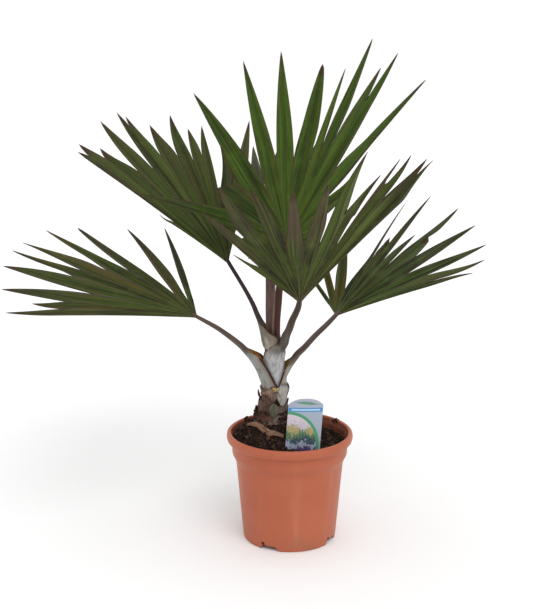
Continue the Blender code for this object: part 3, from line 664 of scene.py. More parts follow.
stub_low, stub_high = (Vector(corner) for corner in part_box("old_leaf_base"))
stub_middle = (stub_low + stub_high) / 2
stub_half = (stub_high - stub_low) / 2
stub_data = bmesh.new()
bmesh.ops.create_uvsphere(stub_data, u_segments=32, v_segments=20, radius=1.0)
for vertex in stub_data.verts:
    x, y, z = vertex.co
    narrow = 1 - 0.22 * max(0.0, z) ** 2
    dent = 0.05 * noise.noise(Vector((x, y, z)) * 1.7)
    vertex.co = stub_middle + Vector((x * stub_half.x * narrow * (0.96 + dent), y * stub_half.y * (1 + dent) * 1.0,
                                      z * stub_half.z * 0.98))
bmesh.ops.recalc_face_normals(stub_data, faces=stub_data.faces)
stub_skin, tree, shader = new_finish("dried_stub", 0.6, Specular_IOR_Level=0.20)
place = object_place(tree)
streak = grain(tree, place, 160, 4, stretch=(1, 1, 0.25))
tint = steps(tree, streak, (0.32, paint(62, 58, 46)), (0.56, paint(86, 85, 70)), (0.74, paint(104, 102, 88)))
tree.links.new(tint, shader.inputs["Base Color"])
relief(tree, shader, streak, 0.0005)
stub = new_piece("oval_stub", stub_data, stub_skin, sharp=180)
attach(stub, "root")
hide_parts("old_leaf_base")

coat_data = bmesh.new()
coat_data.from_mesh(scales.data)
bare = [f for f in coat_data.faces if f.calc_center_median().z > 0.222]
bmesh.ops.delete(coat_data, geom=bare, context="FACES")
coat_area = bpy.data.meshes.new("coat_area")
coat_data.to_mesh(coat_area)
coat_data.free()
coat_finish = crumb_material("stem_coat_fibre", paint(70, 50, 40), paint(116, 92, 75), paint(156, 134, 112))
stem_coat = run_scatter("stem_coat", strands, coat_area,
                        {"Per square metre": 9000.0, "Shortest": 0.003, "Longest": 0.009, "Thickness": 0.00026,
                         "Lean low": (-0.5, -0.5, 0.0), "Lean high": (0.5, 0.5, 6.3), "Lift": 0.0, "Seed": 6,
                         "Finish": coat_finish})
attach(stem_coat, "root")

foot_data = bmesh.new()
foot_data.from_mesh(scales.data)
bare = [f for f in foot_data.faces if f.calc_center_median().z > 0.2015]
bmesh.ops.delete(foot_data, geom=bare, context="FACES")
foot_area = bpy.data.meshes.new("foot_area")
foot_data.to_mesh(foot_area)
foot_data.free()
stem_crumbs = run_scatter("stem_crumbs", lumps, foot_area,
                          {"Per square metre": 52000.0, "Smallest": 0.0006, "Largest": 0.0034, "Lift": 0.0006,
                           "Seed": 17, "Finish": crumb_finish})
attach(stem_crumbs, "root")


# The leaf stalks: each starts as a sheath that clasps the ones inside it, waxy and pale outside and
# dried brown along its open edge, and leaves the stem as a channelled stalk up to the foot of its blade.
LEAVES = {
    "left": dict(
        base=(-0.138, 0.013, 0.340), heading=154, rise=18, roll=-5, fold=5, sag=0.04,
        rays=(-54, -47, -39, -22, -9, -1, 9.8, 19, 34, 47),
        reach=(0.295, 0.250, 0.290, 0.300, 0.315, 0.325, 0.332, 0.315, 0.290, 0.295),
        joined=(0.75, 0.73, 0.52, 0.64, 0.56, 0.53, 0.46, 0.22, 0.16), margins=(1.9, 4.0),
        form={3: (0.8, 1.0, 0.72, 0), 4: (0.4, 1.0, 0.72, 0), 5: (0.9, 1.4, 1.05, 0), 6: (0.7, 0.7, 0.72, 0),
              7: (1.0, 1.0, 0.42, 0), 8: (1.2, 2.1, 0.62, -0.004), 9: (1.3, 1.7, 0.60, -0.003)},
        flush=(0.3, 0.2, 0.3, 0.2, 0.1, 0.3, 0.2, 0.5, 0.4, 0.3),
        tan=0.75, tones={5: 0.55}, upper=(50, 62, 10), light=(69, 84, 28),
        under=(58, 67, 22), pale=(80, 88, 32), mauve=(76, 64, 50)),
    "upper_left": dict(
        base=(-0.094, 0.101, 0.404), heading=130, rise=42, roll=-6, fold=6, sag=0.05,
        rays=(-30.0, -27.8, -24.8, -20.1, -11.7, -4.6, -2.7, 3.0, 10.7, 14.9, 19.8, 25.3, 35.0),
        reach=(0.133, 0.301, 0.312, 0.287, 0.336, 0.347, 0.336, 0.309, 0.326, 0.292, 0.300, 0.266, 0.332),
        joined=(0.80, 0.92, 0.88, 0.73, 0.60, 0.92, 0.73, 0.72, 0.71, 0.78, 0.50, 0.45), margins=(1.0, 4.0),
        form={0: (0.5, 0.8, 0.72, 0), 11: (0.7, 1.9, 0.55, -0.010), 12: (1.3, 1.0, 0.72, 0)},
        flush=(0.2, 0.4, 0.3, 0.2, 0.5, 0.3, 0.2, 0.6, 0.2, 0.3, 0.5, 0.5, 0.8),
        tan=0.30, tones={8: 0.5, 9: 0.8, 10: 0.7}, upper=(41, 56, 10), light=(66, 83, 25),
        under=(52, 63, 22), pale=(74, 84, 36), mauve=(72, 58, 48)),
    "top": dict(
        base=(-0.005, 0.021, 0.453), heading=63, rise=58, roll=-15, fold=24, sag=0.06,
        rays=(-122, -100, -78, -60, -42, -26, -15.6, -3.6, 7.8, 18, 31.3, 36.2, 56, 62.7, 78, 96, 114),
        reach=(0.062, 0.078, 0.270, 0.152, 0.323, 0.341, 0.343, 0.314, 0.295, 0.340, 0.299, 0.331, 0.350, 0.175,
               0.100, 0.105, 0.115),
        joined=(0.80, 0.75, 0.70, 0.80, 0.30, 0.39, 0.43, 0.42, 0.42, 0.54, 0.80, 0.42, 0.60, 0.75, 0.80, 0.80),
        margins=(6.0, 6.0),
        form={2: (0.6, 0.8, 0.72, 0), 4: (0.7, 1.0, 0.72, 0), 7: (0.8, 1.4, 0.50, 0), 9: (1.5, 1.4, 0.66, 0), 12: (0.6, 1.1, 0.68, 0),
              13: (1.2, 2.3, 0.60, -0.017)},
        flush=(0.3, 0.3, 0.6, 0.3, 0.1, 0.1, 0.1, 0.1, 0.2, 0.1, 0.3, 0.1, 0.1, 0.3, 0.3, 0.3, 0.3),
        tan=0.15, tones={5: 0.60, 6: 0.70, 7: 0.58, 8: 0.85, 9: 0.58, 10: 0.75, 11: 0.62, 12: 0.75},
        upper=(46, 69, 8), light=(70, 96, 20),
        under=(62, 72, 30), pale=(78, 86, 42), mauve=(76, 66, 52)),
    "front": dict(
        base=(0.012, -0.072, 0.383), heading=273, rise=44, roll=13, fold=19, sag=0.05,
        rays=(37.7, 31, 22, 15.6, 5.3, -4, -13.5, -23.6, -27.6, -31.1, -39.5, -42.9),
        reach=(0.157, 0.265, 0.310, 0.298, 0.286, 0.292, 0.3284, 0.267, 0.293, 0.298, 0.291, 0.290),
        joined=(0.65, 0.60, 0.46, 0.53, 0.42, 0.44, 0.72, 0.29, 0.82, 0.70, 0.72), margins=(1.5, 6.5),
        form={0: (0.5, 0.6, 0.72, 0.006), 2: (1.5, 1.1, 0.65, 0), 3: (1.0, 1.15, 0.65, 0), 4: (0.7, 0.85, 0.44, 0),
              5: (1.4, 1.4, 0.50, 0), 6: (0.9, 1.0, 0.80, -0.011), 7: (0.8, 0.6, 0.80, -0.016), 8: (1.5, 1.0, 0.72, 0),
              10: (1.0, 0.6, 0.60, 0), 11: (0.7, 0.8, 1.0, 0)},
        flush=(0.1, 0.4, 0.3, 0.25, 0.85, 0.5, 0.0, 0.1, 0.6, -0.3, -0.9, -0.4),
        tan=0.25, tones={}, upper=(50, 65, 14), light=(78, 92, 30),
        under=(57, 72, 23), pale=(82, 98, 42), mauve=(86, 68, 58)),
    "right": dict(
        base=(0.070, 0.036, 0.337), heading=37, rise=35, roll=26, fold=17, sag=0.05,
        rays=(38.9, 34.0, 27.1, 16.0, 5.6, 4.5, -0.7, -6.1, -9.6, -12.0, -33.6, -53.0, -71.4),
        reach=(0.215, 0.240, 0.255, 0.266, 0.204, 0.279, 0.198, 0.275, 0.167, 0.245, 0.142, 0.180, 0.152),
        joined=(0.63, 0.60, 0.48, 0.61, 0.95, 0.55, 0.63, 0.76, 0.71, 0.35, 0.30, 0.18), margins=(1.2, 4.0),
        form={4: (1.5, 1.0, 0.30, 0), 5: (2.4, 1.5, 0.55, 0), 8: (1.2, 1.4, 0.25, 0), 9: (0.8, 0.2, 0.72, 0), 10: (1.0, 1.2, 0.60, 0)},
        flush=(0.2, 0.3, 0.2, 0.3, 0.4, 0.3, 0.3, 0.4, 0.8, 0.9, 0.2, 0.2, 0.2),
        tan=0.60, tones={}, upper=(54, 68, 24), light=(80, 98, 54),
        under=(62, 64, 32), pale=(78, 78, 46), mauve=(74, 62, 54)),
    "back": dict(
        base=(-0.036, 0.108, 0.443), heading=78, rise=22, roll=-29, fold=21, sag=0.06,
        rays=(-31, -15, -8, -0.4, 14.8, 30.0, 42.0, 55.0),
        reach=(0.235, 0.375, 0.328, 0.285, 0.263, 0.237, 0.210, 0.192),
        joined=(0.42, 0.45, 0.48, 0.48, 0.46, 0.44, 0.40), margins=(5.0, 5.0), form={0: (1.7, 1.7, 0.72, 0)},
        flush=(0.3, 0.5, 0.3, 0.4, 0.3, 0.2, 0.3, 0.2),
        tan=0.30, tones={}, upper=(52, 62, 22), light=(74, 86, 38),
        under=(62, 66, 32), pale=(76, 80, 46), mauve=(74, 62, 54)),
}
# Stations from the foot up: place of the outer spine, sheath radius, wrap to either side in degrees,
# half width and depth of the stalk section, and the share of stalk against sheath on either side.
STALKS = {
    "left": dict(turn=185, skin=(86, 70, 62), wax=(139, 140, 135), low=(0.302, 0.330, (96, 90, 78)), fade=(0.285, 0.300), torn=(172, 118, 62), stations=(
        (-0.0421, -0.0014, 0.2300, 0.0188, 125, 112, 0.0046, 0.0080, 0.00, 0.00),
        (-0.0434, -0.0014, 0.2415, 0.0188, 112, 103, 0.0046, 0.0080, 0.00, 0.00),
        (-0.0462, -0.0012, 0.2500, 0.0190, 102, 98, 0.0046, 0.0080, 0.00, 0.00),
        (-0.0501, -0.0010, 0.2600, 0.0192, 100, 94, 0.0046, 0.0080, 0.00, 0.00),
        (-0.0554, -0.0008, 0.2700, 0.0196, 98, 93, 0.0046, 0.0080, 0.00, 0.00),
        (-0.0619, -0.0005, 0.2800, 0.0200, 90, 94, 0.0046, 0.0082, 0.04, 0.00),
        (-0.0657, -0.0002, 0.2850, 0.0196, 74, 88, 0.0046, 0.0080, 0.32, 0.20),
        (-0.0706, 0.0000, 0.2902, 0.0190, 52, 66, 0.0045, 0.0076, 0.80, 0.74),
        (-0.0759, 0.0004, 0.2960, 0.0190, 45, 45, 0.0044, 0.0074, 1.00, 1.00),
        (-0.0890, 0.0020, 0.3071, 0.0205, 30, 30, 0.0042, 0.0066, 1.00, 1.00),
        (-0.1006, 0.0040, 0.3158, 0.0205, 30, 30, 0.0040, 0.0058, 1.00, 1.00),
        (-0.1137, 0.0065, 0.3244, 0.0205, 30, 30, 0.0038, 0.0052, 1.00, 1.00))),
    "right": dict(turn=-8, skin=(84, 68, 62), wax=(146, 142, 130), low=(0.290, 0.325, (108, 100, 88)), fade=(0.262, 0.282), torn=(146, 118, 66), stations=(
        (-0.0043, -0.0026, 0.2300, 0.0188, 84, 125, 0.0046, 0.0080, 0.00, 0.00),
        (-0.0048, -0.0026, 0.2415, 0.0187, 63, 118, 0.0046, 0.0080, 0.00, 0.00),
        (-0.0046, -0.0024, 0.2513, 0.0182, 50, 105, 0.0046, 0.0080, 0.00, 0.00),
        (-0.0002, -0.0020, 0.2600, 0.0172, 58, 96, 0.0046, 0.0080, 0.02, 0.00),
        (0.0034, -0.0012, 0.2670, 0.0162, 58, 88, 0.0046, 0.0082, 0.25, 0.06),
        (0.0070, 0.0000, 0.2720, 0.0155, 48, 72, 0.0046, 0.0084, 0.70, 0.42),
        (0.0106, 0.0012, 0.2768, 0.0155, 42, 50, 0.0046, 0.0084, 0.97, 0.92),
        (0.0150, 0.0030, 0.2830, 0.0160, 40, 45, 0.0045, 0.0082, 1.00, 1.00),
        (0.0240, 0.0065, 0.2920, 0.0175, 30, 30, 0.0043, 0.0072, 1.00, 1.00),
        (0.0395, 0.0150, 0.3082, 0.0175, 30, 30, 0.0040, 0.0064, 1.00, 1.00),
        (0.0578, 0.0265, 0.3238, 0.0175, 30, 30, 0.0037, 0.0056, 1.00, 1.00))),
    "front": dict(turn=282, skin=(68, 52, 46), wax=(168, 168, 168), low=(0.316, 0.352, (87, 80, 69)), fade=(0.281, 0.300), torn=(84, 56, 44), stations=(
        (-0.0205, -0.0150, 0.2350, 0.0150, 112, 112, 0.0078, 0.0055, 0.00, 0.00),
        (-0.0205, -0.0152, 0.2500, 0.0152, 112, 110, 0.0078, 0.0055, 0.00, 0.00),
        (-0.0207, -0.0155, 0.2680, 0.0156, 114, 104, 0.0078, 0.0055, 0.00, 0.00),
        (-0.0204, -0.0157, 0.2800, 0.0162, 114, 96, 0.0078, 0.0055, 0.00, 0.00),
        (-0.0187, -0.0160, 0.2880, 0.0164, 100, 78, 0.0078, 0.0055, 0.00, 0.10),
        (-0.0166, -0.0166, 0.2926, 0.0166, 84, 60, 0.0076, 0.0055, 0.00, 0.38),
        (-0.0138, -0.0178, 0.2962, 0.0168, 64, 46, 0.0074, 0.0055, 0.06, 0.76),
        (-0.0113, -0.0193, 0.2990, 0.0168, 50, 40, 0.0072, 0.0055, 0.42, 0.96),
        (-0.0094, -0.0212, 0.3022, 0.0160, 42, 40, 0.0071, 0.0055, 0.88, 1.00),
        (-0.0078, -0.0242, 0.3070, 0.0150, 40, 40, 0.0070, 0.0055, 1.00, 1.00),
        (-0.0055, -0.0300, 0.3189, 0.0170, 30, 30, 0.0068, 0.0055, 1.00, 1.00),
        (-0.0008, -0.0365, 0.3310, 0.0170, 30, 30, 0.0060, 0.0052, 1.00, 1.00),
        (0.0034, -0.0445, 0.3463, 0.0170, 30, 30, 0.0056, 0.0048, 1.00, 1.00),
        (0.0108, -0.0600, 0.3678, 0.0170, 30, 30, 0.0049, 0.0044, 1.00, 1.00))),
    "upper_left": dict(turn=150, skin=(50, 37, 37), wax=(152, 144, 130), low=(0.330, 0.356, (90, 86, 74)), fade=(0.298, 0.318), torn=(72, 44, 34), stations=(
        (-0.0340, 0.0050, 0.2600, 0.0110, 178, 178, 0.0044, 0.0050, 0.00, 0.00),
        (-0.0345, 0.0055, 0.2900, 0.0115, 178, 178, 0.0044, 0.0050, 0.00, 0.00),
        (-0.0378, 0.0066, 0.2970, 0.0130, 178, 178, 0.0044, 0.0050, 0.00, 0.00),
        (-0.0404, 0.0076, 0.3050, 0.0144, 178, 178, 0.0044, 0.0050, 0.00, 0.00),
        (-0.0416, 0.0085, 0.3135, 0.0147, 150, 176, 0.0048, 0.0052, 0.00, 0.00),
        (-0.0426, 0.0104, 0.3200, 0.0147, 100, 132, 0.0052, 0.0054, 0.14, 0.00),
        (-0.0440, 0.0130, 0.3255, 0.0147, 60, 92, 0.0052, 0.0054, 0.65, 0.20),
        (-0.0465, 0.0170, 0.3305, 0.0146, 40, 50, 0.0050, 0.0054, 0.98, 0.85),
        (-0.0507, 0.0260, 0.3380, 0.0146, 30, 30, 0.0042, 0.0050, 1.00, 1.00),
        (-0.0567, 0.0400, 0.3500, 0.0146, 30, 30, 0.0037, 0.0046, 1.00, 1.00),
        (-0.0644, 0.0550, 0.3620, 0.0146, 30, 30, 0.0034, 0.0042, 1.00, 1.00),
        (-0.0755, 0.0720, 0.3775, 0.0146, 30, 30, 0.0032, 0.0040, 1.00, 1.00))),
    "top": dict(turn=10, skin=(72, 39, 29), wax=(76, 50, 40), low=(0.330, 0.352, (74, 40, 31)), fade=(0.300, 0.310), torn=(84, 56, 44), stations=(
        (-0.0142, 0.0010, 0.2800, 0.0100, 95, 95, 0.0054, 0.0046, 0.00, 0.00),
        (-0.0144, 0.0015, 0.3000, 0.0100, 85, 85, 0.0054, 0.0046, 0.10, 0.10),
        (-0.0148, 0.0022, 0.3200, 0.0100, 50, 50, 0.0060, 0.0085, 0.80, 0.80),
        (-0.0144, 0.0045, 0.3400, 0.0100, 30, 30, 0.0060, 0.0092, 1.00, 1.00),
        (-0.0128, 0.0070, 0.3615, 0.0100, 30, 30, 0.0060, 0.0088, 1.00, 1.00),
        (-0.0110, 0.0110, 0.3920, 0.0100, 30, 30, 0.0056, 0.0074, 1.00, 1.00),
        (-0.0080, 0.0160, 0.4200, 0.0100, 30, 30, 0.0050, 0.0060, 1.00, 1.00))),
    "back": dict(turn=100, skin=(96, 74, 68), wax=(76, 44, 36), low=(0.330, 0.348, (74, 42, 33)), fade=(0.300, 0.310), torn=(84, 56, 44), stations=(
        (-0.0300, 0.0110, 0.2800, 0.0090, 95, 95, 0.0054, 0.0044, 0.00, 0.00),
        (-0.0305, 0.0120, 0.3000, 0.0090, 85, 85, 0.0054, 0.0044, 0.10, 0.10),
        (-0.0300, 0.0170, 0.3200, 0.0090, 50, 50, 0.0066, 0.0050, 0.80, 0.80),
        (-0.0292, 0.0300, 0.3400, 0.0090, 30, 30, 0.0070, 0.0052, 1.00, 1.00),
        (-0.0278, 0.0540, 0.3690, 0.0090, 30, 30, 0.0074, 0.0050, 1.00, 1.00),
        (-0.0288, 0.0810, 0.4020, 0.0090, 30, 30, 0.0064, 0.0042, 1.00, 1.00))),
}
STALK_COLUMNS = 14
STALK_ROWS = 72
SHEATH_WALL = 0.0034


def leaf_axes(leaf):
    """Rib direction, side direction and upper-side normal of a blade."""
    heading, rise, roll = (math.radians(leaf[key]) for key in ("heading", "rise", "roll"))
    rib = Vector((math.cos(rise) * math.cos(heading), math.cos(rise) * math.sin(heading), math.sin(rise)))
    up = Vector((0, 0, 1))
    level_normal = (up - rib * up.dot(rib)).normalized()
    level_side = rib.cross(level_normal)
    normal = level_normal * math.cos(roll) + level_side * math.sin(roll)
    return rib, rib.cross(normal), normal


def stalk_finish(name, stalk):
    """Stalk skin: reddish brown with long streaks, olive near the sheath; the sheath itself is waxy and
    pale, with browned edges and a torn, dried inside."""
    skin, waxen, (low, high, olive), torn = stalk["skin"], stalk["wax"], stalk["low"], stalk["torn"]
    fade_low, fade_high = stalk["fade"]
    material, tree, shader = new_finish(name, 0.55, Specular_IOR_Level=0.20)
    wax, edge, inside = (add(tree, "ShaderNodeAttribute", attribute_name=key).outputs["Fac"]
                         for key in ("wax", "edge", "inside"))
    skin_place = add(tree, "ShaderNodeUVMap", uv_map="skin").outputs["UV"]
    streak = grain(tree, skin_place, 1.0, 4, stretch=(700, 40, 1))
    blotch = grain(tree, object_place(tree), 110, 4)
    tint = blend(tree, window(tree, streak, 0.40, 0.64), paint(*[c * 0.78 for c in skin]), paint(*[c * 1.14 for c in skin]))
    height = add(tree, "ShaderNodeSeparateXYZ", {0: object_place(tree)}).outputs["Z"]
    stripe = grain(tree, skin_place, 1.0, 2, stretch=(330, 14, 1))
    climbing = sums(tree, "ADD", height, sums(tree, "MULTIPLY", sums(tree, "SUBTRACT", stripe, 0.5), 0.090))
    aged = blend(tree, window(tree, streak, 0.42, 0.62), paint(*[c * 0.84 for c in olive]), paint(*[c * 1.12 for c in olive]))
    turned = add(tree, "ShaderNodeSeparateXYZ", {0: skin_place}).outputs["X"]
    sideways = sums(tree, "ABSOLUTE", sums(tree, "SUBTRACT", sums(tree, "DIVIDE", turned, 0.0011 * STALK_COLUMNS), 1.0))
    back_of_it = sums(tree, "MULTIPLY", window(tree, climbing, high, low), window(tree, sideways, 0.95, 0.45))
    tint = blend(tree, back_of_it, tint, aged)
    bloom = steps(tree, blotch, (0.32, paint(*[c * f for c, f in zip(waxen, (0.84, 0.85, 0.78))])), (0.50, paint(*waxen)),
                  (0.70, paint(*[c * f for c, f in zip(waxen, (1.08, 1.08, 1.13))])))
    bloom = blend(tree, window(tree, streak, 0.56, 0.74), bloom, paint(*[c * 0.76 for c in waxen]))
    faint = sums(tree, "ADD", height, sums(tree, "MULTIPLY", sums(tree, "SUBTRACT", stripe, 0.5), 0.040))
    fading = sums(tree, "MAXIMUM", window(tree, wax, 0.98, 0.35), window(tree, faint, fade_low, fade_high))
    bloom = blend(tree, sums(tree, "MULTIPLY", fading, 0.80), bloom, aged)
    reach = sums(tree, "ADD", wax, sums(tree, "MULTIPLY", sums(tree, "SUBTRACT", streak, 0.5), 0.7))
    tint = blend(tree, window(tree, reach, -0.10, 0.80), tint, bloom)
    margin = window(tree, sums(tree, "ADD", edge, sums(tree, "MULTIPLY", sums(tree, "SUBTRACT", blotch, 0.5), 0.3)), 0.62, 0.95)
    tint = blend(tree, sums(tree, "MULTIPLY", margin, 0.75), tint, paint(112, 88, 74))
    dried = blend(tree, window(tree, blotch, 0.40, 0.62), paint(*[c * 0.76 for c in torn]), paint(*torn))
    tint = blend(tree, sums(tree, "MULTIPLY", inside, window(tree, wax, 0.15, 0.6)), tint, dried)
    ragged = sums(tree, "ADD", edge, sums(tree, "MULTIPLY", sums(tree, "SUBTRACT", streak, 0.5), 0.08))
    tint = blend(tree, window(tree, ragged, 0.84, 0.93), tint, paint(48, 27, 22))
    uneven = sums(tree, "ADD", height, sums(tree, "MULTIPLY", sums(tree, "SUBTRACT", blotch, 0.5), 0.040))
    tint = blend(tree, sums(tree, "MULTIPLY", window(tree, uneven, 0.248, 0.232), 0.8), tint, paint(108, 90, 80))
    tree.links.new(tint, shader.inputs["Base Color"])
    relief(tree, shader, streak, 0.0003)
    return material


def build_stalk(name, leaf, stalk):
    turn = math.radians(stalk["turn"])
    outward = Vector((math.cos(turn), math.sin(turn), 0.0))
    foot_across = Vector((-math.sin(turn), math.cos(turn), 0.0))
    rib, side, normal = leaf_axes(leaf)
    end = Vector(leaf["base"]) + rib * 0.0090 - normal * 0.0022
    last = stalk["stations"][-1]
    stations = list(stalk["stations"]) + [(*end, *last[3:6], 0.0032, 0.0036, 1, 1)]
    table = through(stations, STALK_ROWS)
    data = bmesh.new()
    skin_uv = data.loops.layers.uv.new("skin")
    wax = data.verts.layers.float.new("wax")
    edge = data.verts.layers.float.new("edge")
    inside = data.verts.layers.float.new("inside")
    rings, spines, travelled = [], [Vector(row[:3]) for row in table], [0.0]
    for a, b in zip(spines, spines[1:]):
        travelled.append(travelled[-1] + (b - a).length)
    for k, row in enumerate(table):
        radius, back_wrap, fore_wrap, half_width, depth = row[3:8]
        shares = [min(1.0, max(0.0, value)) for value in row[8:10]]
        middle = sum(shares) / 2
        along = (spines[min(k + 1, STALK_ROWS - 1)] - spines[max(k - 1, 0)]).normalized()
        swing = smooth_step(k / (STALK_ROWS - 1), 0.25, 1.0)
        across = foot_across.lerp(-side, swing).normalized()
        across = (across - along * across.dot(along) * middle).normalized()
        inward = (-outward).lerp(along.cross(across), middle).normalized()
        outer, inner = [], []
        for i in range(-STALK_COLUMNS, STALK_COLUMNS + 1):
            f = i / STALK_COLUMNS
            wrap = math.radians(fore_wrap if f > 0 else back_wrap) * f
            share = shares[0] + (shares[1] - shares[0]) * smooth_step(f, -0.4, 0.4)
            wall = SHEATH_WALL * (1 - 0.70 * f * f)
            quarter = math.pi / 2 * f
            sheath = [(radius * math.sin(wrap), radius * (1 - math.cos(wrap))),
                      ((radius - wall) * math.sin(wrap), radius - (radius - wall) * math.cos(wrap))]
            stem = [(half_width * math.sin(quarter), depth * (1 - math.cos(quarter))),
                    (half_width * f * 0.93, depth * (1 - 0.26 * (1 - f * f)))]
            for kind, (ring, a, b) in enumerate(zip((outer, inner), sheath, stem)):
                x, y = (a[j] * (1 - share) + b[j] * share for j in (0, 1))
                vertex = data.verts.new(spines[k] + across * x + inward * y)
                vertex[wax] = 1 - share
                vertex[edge] = abs(f) * (1 - share)
                vertex[inside] = kind
                ring.append(vertex)
        rings.append(outer + inner[::-1])
    count = len(rings[0])
    for k, (lower, upper) in enumerate(zip(rings, rings[1:])):
        for i in range(count):
            j = (i + 1) % count
            face = data.faces.new((lower[i], lower[j], upper[j], upper[i]))
            for loop, (a, b) in zip(face.loops, ((i, k), (i + 1, k), (i + 1, k + 1), (i, k + 1))):
                loop[skin_uv].uv = (a * 0.0011, travelled[b])
    data.faces.new(list(reversed(rings[0])))
    data.faces.new(rings[-1])
    bmesh.ops.recalc_face_normals(data, faces=data.faces)
    piece = new_piece("leaf_stalk_" + name, data, stalk_finish("stalk_skin_" + name, stalk), sharp=50)
    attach(piece, "root")
    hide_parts("stalk_" + name)


for name, stalk in STALKS.items():
    build_stalk(name, LEAVES[name], stalk)


# The leaves: fans of pleated leaflets on one stalk each. Every leaflet is folded into a V along its
# midrib, is joined to its neighbours up to a notch, and from there tapers alone to a fine point.
BLADE_START = 0.0012
STATION = 0.0065
ACROSS = (-1.0, -0.72, -0.42, -0.14, 0.0, 0.14, 0.42, 0.72, 1.0)
PLEAT = 0.46
LAMINA = 0.00055
RIB_ROOT = 0.0011
RIB_TIP = 0.00022


def ray_direction(leaf, angle):
    """Direction of a leaflet; both halves of the fan rise from the rib by the fold angle."""
    rib, side, normal = leaf_axes(leaf)
    turn, fold = math.radians(angle), math.radians(leaf["fold"])
    outward = side * (math.cos(fold) * math.copysign(1.0, turn)) + normal * math.sin(fold)
    return rib * math.cos(turn) + outward * math.sin(abs(turn))


def blade_point(leaf, angle, radius, reach):
    drop = leaf["sag"] * radius * radius / reach
    return Vector(leaf["base"]) + ray_direction(leaf, angle) * radius - Vector((0, 0, drop))


def blade_normal(leaf, angle):
    spread = ray_direction(leaf, angle + 2.0) - ray_direction(leaf, angle - 2.0)
    return spread.cross(ray_direction(leaf, angle)).normalized()


def seams_of(leaf):
    """For each seam and outer margin: its angle, its reach and how far out the leaflets stay joined."""
    rays, reach, joined = leaf["rays"], leaf["reach"], leaf["joined"]
    sign = math.copysign(1.0, rays[1] - rays[0])
    made = []
    for k in range(len(rays) + 1):
        before, after = max(k - 1, 0), min(k, len(rays) - 1)
        angle = (rays[before] + rays[after]) / 2
        if k == 0:
            angle = rays[0] - sign * leaf["margins"][0]
        if k == len(rays):
            angle = rays[-1] + sign * leaf["margins"][1]
        share = joined[min(max(k - 1, 0), len(joined) - 1)]
        notch = min(reach[before], reach[after]) * share
        made.append((angle, (reach[before] + reach[after]) / 2, notch))
    return made


